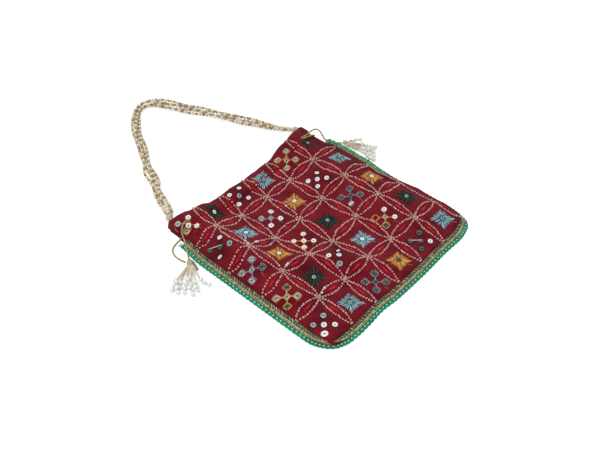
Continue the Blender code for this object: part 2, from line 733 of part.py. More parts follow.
def casing_cord(side, eyelet_x):
    """One drawstring's hidden run: from its eyelet along the front, round the far side edge
    and back along the rear casing."""
    sign = 1 if side == "left" else -1
    depth = cord_depth(side)
    low = PANEL_T + CHANNEL / 2
    turn_x = MOUTH_HALF_WIDTH + 0.4 * MM
    xs = [s * MM for s in RUN_STATIONS if -sign * s * MM < abs(eyelet_x)]
    if side == "right":
        xs.reverse()
    xs = [eyelet_x] + xs
    points = [(x, mouth_y(x) - depth, casing_level(x) - PANEL_T - CHANNEL / 2) for x in xs]
    edge_y = mouth_y(sign * turn_x) - depth
    top = CASING_TOP - PANEL_T - CHANNEL / 2
    radius = (top - low) / 2
    for k in range(5):
        a = math.pi / 2 - math.pi * k / 4
        points.append((sign * (turn_x + radius * math.cos(a)), edge_y, low + radius + radius * math.sin(a)))
    points.append((sign * 88 * MM, mouth_y(sign * 88 * MM) - depth, low))
    for x in (60, 0, -60, -88, -97.6):
        points.append((sign * x * MM, mouth_y(sign * x * MM) - depth, low))
    return tube("drawstring_run_" + side, [Vector(p) for p in points], CORD_D, CORD)


def drawstrings():
    casing_cord("left", EYELET_LEFT_X)
    casing_cord("right", EYELET_RIGHT_X)
    for name, route in (("drawstring_left_front", LEFT_FRONT), ("drawstring_left_side", LEFT_SIDE),
                        ("drawstring_right_front", RIGHT_FRONT), ("drawstring_right_side", RIGHT_SIDE)):
        tube(name, smooth_curve(millimetres(route), 11), CORD_D, CORD)


def handle():
    centre = smooth_curve([(x * MM, y * MM, 0) for x, y in HANDLE_ROUTE], 17, HANDLE_CROWD)
    for strand in range(STRANDS):
        points = []
        travelled = 0.0
        for k, p in enumerate(centre):
            before, after = centre[max(k - 1, 0)], centre[min(k + 1, len(centre) - 1)]
            along = (after - before).normalized()
            side = Vector((-along.y, along.x, 0))
            travelled += (p - before).length
            turn = 2 * math.pi * (strand / STRANDS + travelled / HANDLE_TWIST)
            lift = STRAND_RING + STRAND_D / 2 + 0.1 * MM
            points.append(p + side * STRAND_RING * math.cos(turn)
                          + Vector((0, 0, lift + STRAND_RING * math.sin(turn))))
        tube(f"handle_strand_{strand + 1}", points, STRAND_D, PEARL)
    binding("left", centre[0], centre[1])
    binding("right", centre[-1], centre[-2])


def binding(side, end, before):
    """Stitched thread wrap between the strands' ends and a mouth corner."""
    out = (end - before).normalized()
    up = Vector((0, 0, STRAND_RING + STRAND_D / 2))
    strands = end + out * BINDING_GAP + up
    mouth = end + out * BINDING_LONG[side] + up
    along = mouth - strands
    bpy.ops.mesh.primitive_cone_add(vertices=8, radius1=BINDING_R, radius2=BINDING_MOUTH_R,
                                    depth=along.length, location=(strands + mouth) / 2)
    obj = bpy.context.object
    obj.rotation_mode = "QUATERNION"
    obj.rotation_quaternion = Vector((0, 0, 1)).rotation_difference(along)
    adopt(obj, "handle_binding_" + side, THREAD)


def adopt(obj, name, mat):
    obj.name = name
    obj.data.name = name
    for collection in list(obj.users_collection):
        collection.objects.unlink(obj)
    BAG.objects.link(obj)
    obj.data.materials.append(mat)
    obj.data.shade_smooth()


def beaded_string(name, points, first_pearl):
    """A thread with pearls threaded on it, one turned form swept along the string."""
    bm = bmesh.new()
    rings = []
    for k, p in enumerate(points):
        before, after = points[max(k - 1, 0)], points[min(k + 1, len(points) - 1)]
        along = (after - before).normalized()
        if k < first_pearl:
            rings.append(thread_ring(bm, p, along, THREAD_R))
            continue
        for shift, radius in ((-0.8, 0.6), (0, 1), (0.8, 0.6)):
            rings.append(thread_ring(bm, p + along * PEARL_R * shift, along, PEARL_R * radius))
    for one, two in zip(rings, rings[1:]):
        for k in range(STRING_SIDES):
            n = (k + 1) % STRING_SIDES
            bm.faces.new((one[k], one[n], two[n], two[k]))
    bm.faces.new(rings[0])
    bm.faces.new(rings[-1])
    bmesh.ops.recalc_face_normals(bm, faces=bm.faces)
    mesh = bpy.data.meshes.new(name)
    bm.to_mesh(mesh)
    bm.free()
    return new_object(name, mesh, PEARL)


def thread_ring(bm, p, along, radius):
    side = Vector((-along.y, along.x, 0)).normalized()
    up = along.cross(side)
    ring = []
    for k in range(STRING_SIDES):
        a = 2 * math.pi * (k + 0.5) / STRING_SIDES
        ring.append(bm.verts.new(p + side * radius * math.cos(a) + up * radius * math.sin(a)))
    return ring


def tassel(side, knot, strings):
    """A wrapped knot that the drawstring's two ends go into, and strings of pearls from it."""
    x, y = knot[0] * MM, knot[1] * MM
    bpy.ops.mesh.primitive_uv_sphere_add(segments=8, ring_count=5, radius=KNOT_WRAP_R,
                                         location=(x, y, KNOT_WRAP_R))
    adopt(bpy.context.object, "tassel_knot_" + side, THREAD)
    for k, (turn, pearls) in enumerate(strings):
        out = Vector((math.cos(math.radians(turn)), math.sin(math.radians(turn)), 0))
        start = Vector((x, y, PEARL_R))
        points = [start + out * (KNOT_WRAP_R + GAP), start + out * STRING_ROOT]
        points += [Vector((px * MM, py * MM, PEARL_R)) for px, py in pearls]
        beaded_string(f"tassel_{side}_string_{k + 1}", points, 2)


for old in list(bpy.data.objects):
    bpy.data.objects.remove(old, do_unlink=True)
BAG = bpy.data.collections.new("potli_bag")
CUTTERS = bpy.data.collections.new("cutters")
bpy.context.scene.collection.children.link(BAG)
bpy.context.scene.collection.children.link(CUTTERS)

CLOTH = material("maroon_cloth", (0.19, 0.012, 0.02))
CLOTH_BACK = material("maroon_back_cloth", (0.17, 0.01, 0.018))
LINING = material("red_lining", (0.25, 0.02, 0.03), 0.6)
BEADING = material("pink_beading", (0.6, 0.3, 0.27), 0.5)
SEQUIN = material("white_sequins", (0.8, 0.78, 0.72), 0.35)
STAR = [material("mustard_thread", (0.6, 0.3, 0.05), 0.6),
        material("dark_green_thread", (0.02, 0.07, 0.05), 0.6),
        material("blue_thread", (0.12, 0.35, 0.4), 0.6)]
BRAID = material("gold_braid", (0.45, 0.3, 0.12), 0.6)
LACE = material("green_lace", (0.01, 0.28, 0.12), 0.7)
CORD = material("gold_cord", (0.35, 0.25, 0.08), 0.6)
THREAD = material("cream_thread", (0.7, 0.6, 0.42))
PEARL = material("pearl_beads", (0.75, 0.72, 0.65), 0.3)

FRONT = front_panel()
back_panel()
lining()
bpy.context.view_layer.update()
HEIGHT = height_finder(FRONT)
embroidery()
trims()
drawstrings()
handle()
tassel("left", LEFT_KNOT, LEFT_STRINGS)
tassel("right", RIGHT_KNOT, RIGHT_STRINGS)
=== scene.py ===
"""Embroidered drawstring pouch (potli bag) lying on a white surface, dressed for the camera.

Metres, +Z up, in the frame of the CAD solids. The cloth follows the height formula of the
solids with small wrinkles added, and every stitch, bead and sequin is seated on it.
"""

import random
from math import atan2, copysign, cos, exp, hypot, pi, radians, sin, sqrt

import bpy
from mathutils import Matrix, Vector, noise


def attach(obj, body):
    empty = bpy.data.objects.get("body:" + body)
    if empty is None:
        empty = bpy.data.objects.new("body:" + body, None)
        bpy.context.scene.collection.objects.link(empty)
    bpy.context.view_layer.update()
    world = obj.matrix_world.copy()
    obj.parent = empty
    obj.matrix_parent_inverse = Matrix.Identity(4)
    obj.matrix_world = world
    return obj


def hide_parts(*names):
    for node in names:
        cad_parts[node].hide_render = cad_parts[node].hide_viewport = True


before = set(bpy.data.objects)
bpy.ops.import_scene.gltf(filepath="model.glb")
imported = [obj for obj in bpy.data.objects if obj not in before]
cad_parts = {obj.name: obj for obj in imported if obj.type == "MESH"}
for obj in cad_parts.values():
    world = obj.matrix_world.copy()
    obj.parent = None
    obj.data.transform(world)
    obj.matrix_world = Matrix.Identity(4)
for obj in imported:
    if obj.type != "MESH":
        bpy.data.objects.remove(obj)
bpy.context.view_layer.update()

MM = 0.001
SCENE = bpy.context.scene
CHANCE = random.Random(7)
vary, pick = CHANCE.uniform, CHANCE.choice

# Camera and light
AZIMUTH = radians(-47.7)
ELEVATION = radians(44.6)
TARGET = Vector((-9.0, 15.6, 1.5)) * MM
DISTANCE = 799 * MM

# Cloth pouch, as in the solids
HALF_WIDTH = 104 * MM
MOUTH_HALF_WIDTH = 98 * MM
BOTTOM_SEAM = -106.2 * MM
SEAM_ALLOWANCE = 4.4 * MM
SEAM_SLOPE = 3.1 * MM
MOUTH_Y = 98 * MM
CORNER_RISE_LEFT, CORNER_BEND_LEFT = 11 * MM, 6.0
CORNER_RISE_RIGHT, CORNER_BEND_RIGHT = 13.1 * MM, 2.2
TRIM_END_Y = 79 * MM
PANEL_T = 0.9 * MM
GAP = 0.3 * MM
FLAT_TOP = 4.9 * MM
ROLL_LEFT = dict(x=-75 * MM, y=22 * MM, wide=16 * MM, long=68 * MM, high=11 * MM)
ROLL_RIGHT = dict(x=70 * MM, y=0 * MM, wide=32 * MM, long=72 * MM, high=11.5 * MM)
CREASE = dict(x=-28 * MM, y=-43 * MM, wide=14 * MM, long=46 * MM, high=7 * MM)
CREASE_ANGLE = radians(-48.6)
SIDE_SLOPE, BOTTOM_SLOPE = 18 * MM, 20 * MM
CASING_TOP = 8.9 * MM
CHANNEL = 2.4 * MM
GAPE_LEFT = dict(x=-71 * MM, wide=17 * MM, high=5.6 * MM)
GAPE_RIGHT = dict(x=62 * MM, wide=20 * MM, high=6.4 * MM)
GAPE_FADE = (56 * MM, 84 * MM)
GAPE_SHARE = 0.7
HEM_LOWER, HEM_SLOPE = 18 * MM, 4.5 * MM
FOLD_WIDE, FOLD_DIP = 3.5 * MM, 1.9 * MM
# Corners of the mouth that puff up: x, y, height, half width
CORNER_PUFFS = ((-90 * MM, 101 * MM, 3.4 * MM, 12 * MM), (88 * MM, 104 * MM, 6.0 * MM, 15 * MM))
# The front puffs out over the trim along the lower right side
UPPER_BULGE = 0.55
BULGE_TOP, BULGE_FADE = 84 * MM, 12 * MM
LOWER_BULGE_TOP, LOWER_BULGE_FADE = 12 * MM, 24 * MM
BULGE_BOTTOM, BULGE_END = -107 * MM, 12 * MM
BULGE_FROM, BULGE_RISE, BULGE_HIGH = 78 * MM, 20 * MM, 3.0 * MM

# Embroidery grid
COLUMNS, ROWS = 6, 5
GRID_HALF = 100 * MM
GRID_BOTTOM = -101 * MM
ROW_LINE_1 = 64 * MM
TOP_ROW_SHARE = 0.76
PULL_X, PULL_Y = -5 * MM, -3 * MM
TOP_MOTIF_ROW = 0.56


TINY = 1e-6
AXIS_X = Vector((1, 0, 0))


def bump(t):
    return exp(-t * t)


def ease(t):
    t = min(max(t, 0.0), 1.0)
    return t * t * (3 - 2 * t)


def mix(a, b, t):
    return a + (b - a) * t


def roll(x, y, r):
    return r["high"] * bump((x - r["x"]) / r["wide"]) * bump((y - r["y"]) / r["long"])


def gape(x):
    return sum(g["high"] * bump(((x - g["x"]) / g["wide"]) ** 2) for g in (GAPE_LEFT, GAPE_RIGHT))


def bulge(y):
    """How far the front puffs out over the trim of the right side, 0 to 1."""
    upper = UPPER_BULGE * ease((BULGE_TOP - y) / BULGE_FADE)
    lower = (1 - UPPER_BULGE) * ease((LOWER_BULGE_TOP - y) / LOWER_BULGE_FADE)
    return (upper + lower) * ease((y - BULGE_BOTTOM) / BULGE_END)


def drawn_in(p):
    """The outline isn't a true rectangle: rounder corners, a waist on the right, soft waves."""
    x, y = p.x, p.y
    for corner_x, move_x, move_y, wide in ((-106, 6.0, 5.0, 15), (106, -4.6, 5.6, 18)):
        near = bump(hypot(x - corner_x * MM, y + 108 * MM) / (wide * MM))
        p = p + Vector((move_x, move_y, 0)) * near * MM
    side = ease((abs(x) - 70 * MM) / (30 * MM))
    if x > 0:
        p.x -= side * (4.5 * bump((y - 2 * MM) / (24 * MM)) + 1.2 * ease((y - 20 * MM) / (20 * MM))
                       + 1.6 * ease((y - 66 * MM) / (16 * MM))) * MM
    else:
        waist = ease((y - 48 * MM) / (34 * MM)) * ease((86 * MM - y) / (7 * MM))
        p.x += side * (0.4 + 3.6 * waist) * MM
    low = ease((-80 * MM - y) / (22 * MM))
    p.y += low * (0.8 + 1.7 * bump((x + 40 * MM) / (15 * MM))
                  + 1.6 * bump((x - 58 * MM) / (26 * MM))) * MM
    return p


def body_top(x, y):
    """Top of the front cloth below the casing."""
    dx, dy = x - CREASE["x"], y - CREASE["y"]
    along = dx * cos(CREASE_ANGLE) + dy * sin(CREASE_ANGLE)
    across = dy * cos(CREASE_ANGLE) - dx * sin(CREASE_ANGLE)
    crease = CREASE["high"] * bump(along / CREASE["long"]) * bump(across / CREASE["wide"])
    slope = ease((GRID_HALF - abs(x)) / SIDE_SLOPE) * ease((y - GRID_BOTTOM) / BOTTOM_SLOPE)
    opened = GAPE_SHARE * gape(x) * ease((y - GAPE_FADE[0]) / (GAPE_FADE[1] - GAPE_FADE[0]))
    puffed = BULGE_HIGH * bulge(y) * ease((x - BULGE_FROM) / BULGE_RISE)
    return (FLAT_TOP + puffed
            + slope * (roll(x, y, ROLL_LEFT) + roll(x, y, ROLL_RIGHT) + crease + opened))


def mouth_y(x):
    u = max(min(x / MOUTH_HALF_WIDTH, 1.05), -1.05)
    if u < 0:
        return MOUTH_Y + CORNER_RISE_LEFT * (-u) ** CORNER_BEND_LEFT
    return MOUTH_Y + CORNER_RISE_RIGHT * u ** CORNER_BEND_RIGHT


def casing_top(x):
    return CASING_TOP + gape(x)


def seam_blend(x, y):
    allowance = SEAM_ALLOWANCE * (1 - 0.85 * bulge(y) * (x > 0))
    edge = HALF_WIDTH - allowance
    if x < 0:
        edge = mix(edge, MOUTH_HALF_WIDTH - 0.3 * MM, ease((y - 68 * MM) / (13 * MM)))
    inside_y = (y - BOTTOM_SEAM - SEAM_ALLOWANCE) / SEAM_SLOPE
    return ease(min((edge - abs(x)) / SEAM_SLOPE, inside_y))


def grid_point(column, row):
    """Place of the embroidery grid at a column line and a row line, halves for middles."""
    u = column / (COLUMNS / 2) - 1
    x = GRID_HALF * u + PULL_X * (1 - u * u)
    if row < 1:
        return x, ROW_LINE_1 + (mouth_y(x) - ROW_LINE_1) * (1 - row) / TOP_ROW_SHARE
    w = (ROWS - row) / (ROWS - 1)
    return x, mix(GRID_BOTTOM, ROW_LINE_1, w) + PULL_Y * 4 * w * (1 - w)


# How far each knot and each motif lies from the even grid, in mm, for the rows of each column
NODE_SHIFT = (
    ((-1.3, 0.8), (-0.2, 1.7), (-0.8, 1.9), (1.7, 1.7)),
    ((-2, -0.8), (-2.3, -1.4), (1.8, 1.6), (2.1, -1.1)),
    ((0.7, -0.1), (0, -0.6), (-1.7, -2.3), (2.5, -0.9)),
    ((0, -0.3), (0.8, 1), (3, 2.2), (2.6, -0.7)),
    ((0.5, 0.3), (-0.3, 1), (-0.3, 0.8), (2.3, -1.6)))
MOTIF_SHIFT = (
    ((0, 0), (-1.4, 2.7), (-2.1, 3.4), (-2.5, 1.6), (-2.8, -1.9)),
    ((-4.4, -1.5), (-1.8, -0.2), (-1, 0.7), (0, 0), (0.3, -2.4)),
    ((-2.8, -1.1), (-2.5, -2.5), (-3.7, -3.3), (-0.8, -2.4), (1.2, -3.9)),
    ((-1.9, -1.4), (-3.5, -3.4), (-1.9, -2.2), (1.5, -1), (2.2, -3.7)),
    ((-1.4, -1.8), (-2, -1.6), (0, 0), (0.5, -1.3), (0.8, -3.5)),
    ((-3, -4), (1.6, 2.9), (-2.7, 0.3), (0, 0), (2, -1.7)))


def node(column, row):
    """A knot of the lattice, or the end of a petal at the edge."""
    x, y = grid_point(column, row)
    if column in (0, COLUMNS) or row in (1 - TOP_ROW_SHARE, ROWS):
        return Vector((x, y))
    dx, dy = NODE_SHIFT[column - 1][row - 1]
    return Vector((x + dx * MM, y + dy * MM))


def grid_place(x, y):
    """Column and row of a place on the cloth, the other way round."""
    u = x / GRID_HALF
    u = (x - PULL_X * (1 - u * u)) / GRID_HALF
    column = (u + 1) * COLUMNS / 2
    if y > ROW_LINE_1:
        return column, 1 - (y - ROW_LINE_1) * TOP_ROW_SHARE / (mouth_y(x) - ROW_LINE_1)
    w = (y - GRID_BOTTOM) / (ROW_LINE_1 - GRID_BOTTOM)
    w = (y - PULL_Y * 4 * w * (1 - w) - GRID_BOTTOM) / (ROW_LINE_1 - GRID_BOTTOM)
    return column, ROWS - (ROWS - 1) * w


def relief(x, y):
    """Small lumps: the cloth puffs between the embroidered lines and is gathered by them."""
    column, row = grid_place(x, y)
    puff = sin(pi * column) ** 2 * sin(pi * row) ** 2
    pull = bump(sin(pi * column) / 0.45) * bump(sin(pi * row) / 0.45)
    coarse = noise.noise(Vector((x * 62, y * 62, 3.1)))
    fine = noise.noise(Vector((x * 190, y * 150, 8.4)))
    crumple = abs(noise.noise(Vector((x * 105, y * 85, 5.7))))
    return (0.6 * puff - 0.7 * pull + 1.1 * coarse + 0.45 * fine - 1.1 * crumple) * MM


def front_top(x, y):
    """Top of the front cloth."""
    depth = mouth_y(x) - y
    raised = mix(body_top(x, y), casing_top(x), ease((HEM_LOWER - depth) / HEM_SLOPE))
    raised -= FOLD_DIP * ease((FOLD_WIDE - depth) / FOLD_WIDE)
    for corner_x, corner_y, high, wide in CORNER_PUFFS:
        raised += high * bump((x - corner_x) / wide) * bump((y - corner_y) / (13 * MM))
    flat = 2 * PANEL_T + GAP
    inside = seam_blend(x, y)
    return mix(flat, raised, inside) + relief(x, y) * inside


def seat(x, y, lift=0.0):
    return Vector((x, y, front_top(x, y) + lift))


def slope(x, y):
    """The cloth's upward normal."""
    step = 1.5 * MM
    dx = (front_top(x + step, y) - front_top(x - step, y)) / (2 * step)
    dy = (front_top(x, y + step) - front_top(x, y - step)) / (2 * step)
    return Vector((-dx, -dy, 1)).normalized()


def on_cloth(x, y, lift=0.0, turn=0.0, size=1.0, flat=1.0):
    """A frame that lies on the cloth at (x, y)."""
    normal = slope(x, y)
    return (Matrix.Translation(seat(x, y) + normal * lift) @ toward(upwards(1), normal)
            @ Matrix.Rotation(turn, 4, "Z") @ Matrix.Diagonal((size, size, size * flat, 1)))


def upwards(z):
    return Vector((0, 0, z))


def around(x, y, reach, turn):
    """The place at a distance and a direction from (x, y)."""
    return x + reach * cos(turn), y + reach * sin(turn)


def heading(path, k, reach=1):
    """Direction of a path at its point k."""
    return (path[min(k + reach, len(path) - 1)] - path[max(k - reach, 0)]).normalized()


def toward(a, b):
    """The turn that brings direction a to direction b."""
    return a.rotation_difference(b).to_matrix().to_4x4()


def laid(place, turn, *sizes):
    """A frame at a place, turned and then scaled along its three axes."""
    return Matrix.Translation(place) @ turn @ Matrix.Diagonal((*sizes, 1))


def linked(name, data):
    obj = bpy.data.objects.new(name, data)
    SCENE.collection.objects.link(obj)
    return obj


def dressed(name, points, faces, materials, stands_for=None):
    """A smooth mesh that rides on the bag and may stand for a CAD node."""
    mesh = bpy.data.meshes.new(name)
    mesh.from_pydata([tuple(p) for p in points], [], faces)
    for mat in materials:
        mesh.materials.append(mat)
    mesh.shade_smooth()
    obj = linked(name, mesh)
    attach(obj, "root")
    if stands_for:
        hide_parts(stands_for)
    return obj


class Heap:
    """Collects copies of small templates and sweeps into one mesh with several materials."""

    def __init__(self):
        self.points, self.faces, self.mats = [], [], []

    def add(self, template, place, mat=0):
        points, faces = template
        first = len(self.points)
        self.points += [place @ p for p in points]
        self.faces += [tuple(first + k for k in face) for face in faces]
        self.mats += [mat] * len(faces)

    def stitch(self, a, b, radius, mat=0, flat=0.7):
        """A plump thread stitch from a to b."""
        along = b - a
        length = along.length
        if length < TINY:
            return
        along.normalize()
        side = upwards(1).cross(along).normalized()
        axes = Matrix((along, side, along.cross(side))).transposed().to_4x4()
        self.add(STITCH, laid((a + b) / 2, axes, length / 2, radius, radius * flat), mat)

    def sew(self, p, q, lifts, radius, mat, flat=0.7):
        """A stitch from place p to place q on the cloth; its lifts and its radius are in mm."""
        self.stitch(seat(*p, lifts[0] * MM), seat(*q, lifts[1] * MM), radius * MM, mat, flat)

    def sweep(self, path, ring_of, mat=0):
        """A closed tube along a path; ring_of(k, travelled) is its section, (side, up) pairs."""
        first, count, travelled = len(self.points), len(path), 0.0
        for k, p in enumerate(path):
            along = heading(path, k)
            side = Vector((-along.y, along.x, 0))
            side = side.normalized() if side.length > TINY else AXIS_X
            up = along.cross(side)
            travelled += (p - path[max(k - 1, 0)]).length
            ring = ring_of(k, travelled)
            self.points += [p + side * a + up * b for a, b in ring]
        sides = len(ring)
        for k in range(count - 1):
            for n in range(sides):
                a, b = first + k * sides + n, first + k * sides + (n + 1) % sides
                self.faces.append((a, b, b + sides, a + sides))
        self.faces.append(tuple(first + n for n in reversed(range(sides))))
        self.faces.append(tuple(first + (count - 1) * sides + n for n in range(sides)))
        self.mats += [mat] * ((count - 1) * sides + 2)

    def make(self, name, materials, slot, stands_for=None):
        obj = dressed(name, self.points, self.faces, materials, stands_for)
        obj.data.polygons.foreach_set("material_index", self.mats)
        return obj


def turned(profile, sides, ends=None):
    """A form turned about Z from (radius, height) pairs, closed at both ends by a fan."""
    low, high = ends or (profile[0][1], profile[-1][1])
    points = [upwards(low)]
    for r, z in profile:
        points += [Vector((*around(0, 0, r, 2 * pi * k / sides), z)) for k in range(sides)]
    points.append(upwards(high))
    faces = []
    for k in range(sides):
        n = (k + 1) % sides
        faces.append((0, 1 + k, 1 + n))
        for base in range(1, 1 + (len(profile) - 1) * sides, sides):
            faces.append((base + k, base + sides + k, base + sides + n, base + n))
        base = 1 + (len(profile) - 1) * sides
        faces.append((base + k, len(points) - 1, base + n))
    return points, faces


def ball(sides, rings):
    """A unit sphere."""
    angles = [pi * r / rings - pi / 2 for r in range(1, rings)]
    points, faces = turned([(cos(a), sin(a)) for a in angles], sides, (-1, 1))
    return points, [face[:1] + face[:0:-1] for face in faces]


DOT = ball(7, 5)
BEAD = ball(10, 8)
UPRIGHT = ball(6, 4)
# A unit stitch along X: a fat middle drawn out to both ends
STITCH = [Vector((p.z, p.x, p.y)) for p in UPRIGHT[0]], UPRIGHT[1]
# Cup sequin from its middle: near-black disc as painted shade in the hole, raised rim, thin edge
SEQUIN_HOLE = turned([(0.23, 0.06), (0.0, 0.06)], 10)
SEQUIN_CUP = turned([(0.0, 0.0), (1.0, 0.0), (1.0, 0.08), (0.86, 0.26), (0.6, 0.34), (0.4, 0.24),
                     (0.28, 0.07), (0.0, 0.05)], 16)


def material(name, colours, roughness=0.5, scale=500, bump=0.2, bump_scale=1500, metallic=0,
             sheen=0, coat=0, weave=0, shine=0.14):
    """Two or three colours over a noise, with a fine bump and, on cloth, a weave."""
    mat = bpy.data.materials.new(name)
    mat.use_nodes = True
    nodes, links = mat.node_tree.nodes, mat.node_tree.links
    shader = nodes["Principled BSDF"]
    shader.inputs["Roughness"].default_value = roughness
    shader.inputs["Metallic"].default_value = metallic
    shader.inputs["Sheen Weight"].default_value = sheen
    shader.inputs["Coat Weight"].default_value = coat
    shader.inputs["Specular IOR Level"].default_value = shine
    where = nodes.new("ShaderNodeTexCoord").outputs["Object"]

    def texture(kind, fineness):
        new = nodes.new("ShaderNodeTex" + kind)
        new.inputs["Scale"].default_value = fineness
        links.new(where, new.inputs["Vector"])
        return new

    grain = texture("Noise", scale)
    grain.inputs["Detail"].default_value = 3.0
    ramp = nodes.new("ShaderNodeValToRGB")
    stops = ramp.color_ramp.elements
    stops[0].position, stops[1].position = 0.25, 0.75
    stops[0].color, stops[1].color = (*colours[0], 1), (*colours[-1], 1)
    if len(colours) == 3:
        stops.new(0.5).color = (*colours[1], 1)
    links.new(grain.outputs["Fac"], ramp.inputs["Fac"])
    links.new(ramp.outputs["Color"], shader.inputs["Base Color"])
    height = texture("Noise", bump_scale).outputs["Fac"]
    for turn in "XY" if weave else "":
        wave = texture("Wave", weave)
        wave.bands_direction = turn
        wave.inputs["Distortion"].default_value = 1.5
        join = nodes.new("ShaderNodeMath")
        join.operation = "ADD"
        links.new(height, join.inputs[0])
        links.new(wave.outputs["Fac"], join.inputs[1])
        height = join.outputs[0]
    raised = nodes.new("ShaderNodeBump")
    raised.inputs["Strength"].default_value = bump
    raised.inputs["Distance"].default_value = 0.3 * MM
    links.new(height, raised.inputs["Height"])
    links.new(raised.outputs["Normal"], shader.inputs["Normal"])
    return mat


def thread_set(name, *tones, rough=(0.5, 0.5, 0.55)):
    """Light, middle and dark thread of one colour."""
    return [material(f"{name}_{tone}", ends, roughness)
            for tone, ends, roughness in zip(("light", "mid", "dark"), tones, rough)]


CLOTH = material("maroon_cloth",
                 [(0.095, 0.003, 0.008), (0.185, 0.008, 0.016), (0.245, 0.013, 0.024)],
                 0.85, 55, 0.5, 900, sheen=0.04, weave=650, shine=0.06)
CLOTH_BACK = material("maroon_back_cloth", [(0.12, 0.004, 0.011), (0.18, 0.008, 0.02)],
                      0.85, 60, 0.5, 900, sheen=0.04, weave=650, shine=0.06)
LINING = material("red_lining", [(0.16, 0.006, 0.014), (0.24, 0.014, 0.03)], 0.55, 50, 0.3, 700,
                  sheen=0.1, weave=900)
PINK = material("pink_beads", [(0.46, 0.22, 0.2), (0.64, 0.35, 0.31), (0.78, 0.52, 0.47)],
                0.45, 380)
PALE = material("pale_beads", [(0.72, 0.6, 0.57), (0.92, 0.88, 0.86)], 0.3, 400, shine=0.5)
# One red satin in three tones: the bright one is painted sheen on the middle of each spindle, the
# darker ones go towards its ends
SATIN_SHEEN = material("red_satin_painted_sheen", [(0.5, 0.01, 0.022), (0.7, 0.02, 0.032)], 0.42, 90, 0.15)
SATIN_MID = material("red_satin", [(0.29, 0.006, 0.016), (0.44, 0.009, 0.022)], 0.45, 90, 0.15)
SATIN_DARK = material("dark_red_satin", [(0.18, 0.005, 0.012), (0.28, 0.007, 0.017)], 0.5, 90, 0.15)
KNOT = material("knot_thread", [(0.27, 0.17, 0.14), (0.42, 0.29, 0.24), (0.5, 0.38, 0.32)], 0.7)
WHITE = material("white_sequin", [(0.74, 0.74, 0.74), (0.92, 0.92, 0.91)], 0.28, 250, 0.1,
                 coat=0.3, shine=0.5)
GREY = material("grey_sequin", [(0.15, 0.17, 0.17), (0.32, 0.34, 0.33), (0.52, 0.52, 0.5)],
                0.3, 420, 0.15, metallic=0.3, coat=0.2, shine=0.5)
SILVER = material("silver_sequin", [(0.3, 0.36, 0.42), (0.52, 0.58, 0.64)], 0.25, 300, 0.1,
                  metallic=0.4, coat=0.3, shine=0.5)
DARK = material("dark_sequin", [(0.025, 0.038, 0.032), (0.08, 0.115, 0.1)], 0.35, 420, 0.1,
                coat=0.2, shine=0.4)
# Near-black for the sequin holes and the star openings: painted shade
HOLE_SHADE = material("sequin_hole_painted_shade", [(0.012, 0.01, 0.012), (0.03, 0.02, 0.025)], 0.7, 400)
FRAME_BLUE = [material("frame_blue_light", [(0.38, 0.44, 0.54), (0.52, 0.58, 0.66)]),
              material("frame_blue", [(0.2, 0.25, 0.33), (0.32, 0.38, 0.46)]),
              material("frame_blue_dark", [(0.06, 0.08, 0.11), (0.14, 0.17, 0.22)])]
THREADS = {
    "mustard": thread_set("mustard", [(0.82, 0.4, 0.08), (0.95, 0.56, 0.16)],
                          [(0.58, 0.24, 0.03), (0.76, 0.36, 0.06)],
                          [(0.2, 0.06, 0.012), (0.36, 0.13, 0.025)]),
    "dark": thread_set("green", [(0.022, 0.065, 0.045), (0.055, 0.12, 0.085)],
                       [(0.008, 0.022, 0.016), (0.018, 0.043, 0.032)],
                       [(0.003, 0.007, 0.006), (0.008, 0.017, 0.014)]),
    "blue": thread_set("blue", [(0.32, 0.61, 0.66), (0.53, 0.8, 0.84)],
                       [(0.1, 0.28, 0.34), (0.2, 0.43, 0.5)],
                       [(0.012, 0.04, 0.055), (0.04, 0.1, 0.13)], rough=(0.45, 0.5, 0.55))}
BRAID_GOLD = material("braid_gold", [(0.22, 0.13, 0.045), (0.42, 0.29, 0.11), (0.58, 0.45, 0.22)],
                      0.45, 600, shine=0.3)
BRAID_BROWN = material("braid_brown", [(0.09, 0.06, 0.025), (0.24, 0.15, 0.06)], 0.5, 600)
BRAID_GREEN = material("braid_green", [(0.008, 0.05, 0.03), (0.02, 0.12, 0.07)], 0.6)
BRAID_SAGE = material("braid_sage", [(0.07, 0.2, 0.12), (0.2, 0.33, 0.2)], 0.6)
BRAID_PALE = material("braid_pale", [(0.55, 0.47, 0.28), (0.8, 0.74, 0.5)], shine=0.3)
LACE = material("green_lace", [(0.01, 0.17, 0.085), (0.018, 0.28, 0.145), (0.045, 0.41, 0.24)],
                0.75, 350)
LACE_BEAD = material("lace_bead", [(0.7, 0.86, 0.79), (0.95, 0.98, 0.95)], 0.3, 300, 0.1, shine=0.5)
CORD = material("gold_cord", [(0.2, 0.14, 0.055), (0.36, 0.28, 0.12), (0.5, 0.42, 0.22)], 0.45, 420,
                0.4, 1800, metallic=0.1, shine=0.4)
PEARL = material("cream_pearl", [(0.64, 0.56, 0.4), (0.88, 0.83, 0.68)], 0.3, 320, 0.05, coat=0.3,
                 shine=0.5)
GOLD_BEAD = material("copper_gold_bead", [(0.24, 0.14, 0.05), (0.44, 0.28, 0.11), (0.6, 0.43, 0.2)],
                     0.35, 420, 0.1, metallic=0.25, coat=0.2, shine=0.5)
CLEAR = material("clear_pearl", [(0.72, 0.77, 0.7), (0.9, 0.92, 0.87)], 0.2, 300, 0.05, coat=0.4,
                 shine=0.5)
STRING = material("bead_thread", [(0.6, 0.56, 0.4), (0.8, 0.76, 0.6)], 0.6, 300)
ROSE_STRING = material("rose_thread", [(0.62, 0.48, 0.38), (0.8, 0.68, 0.54)], 0.6, 300)
WRAP = material("cream_thread", [(0.42, 0.35, 0.23), (0.6, 0.53, 0.39), (0.75, 0.69, 0.56)],
                0.65, 450)


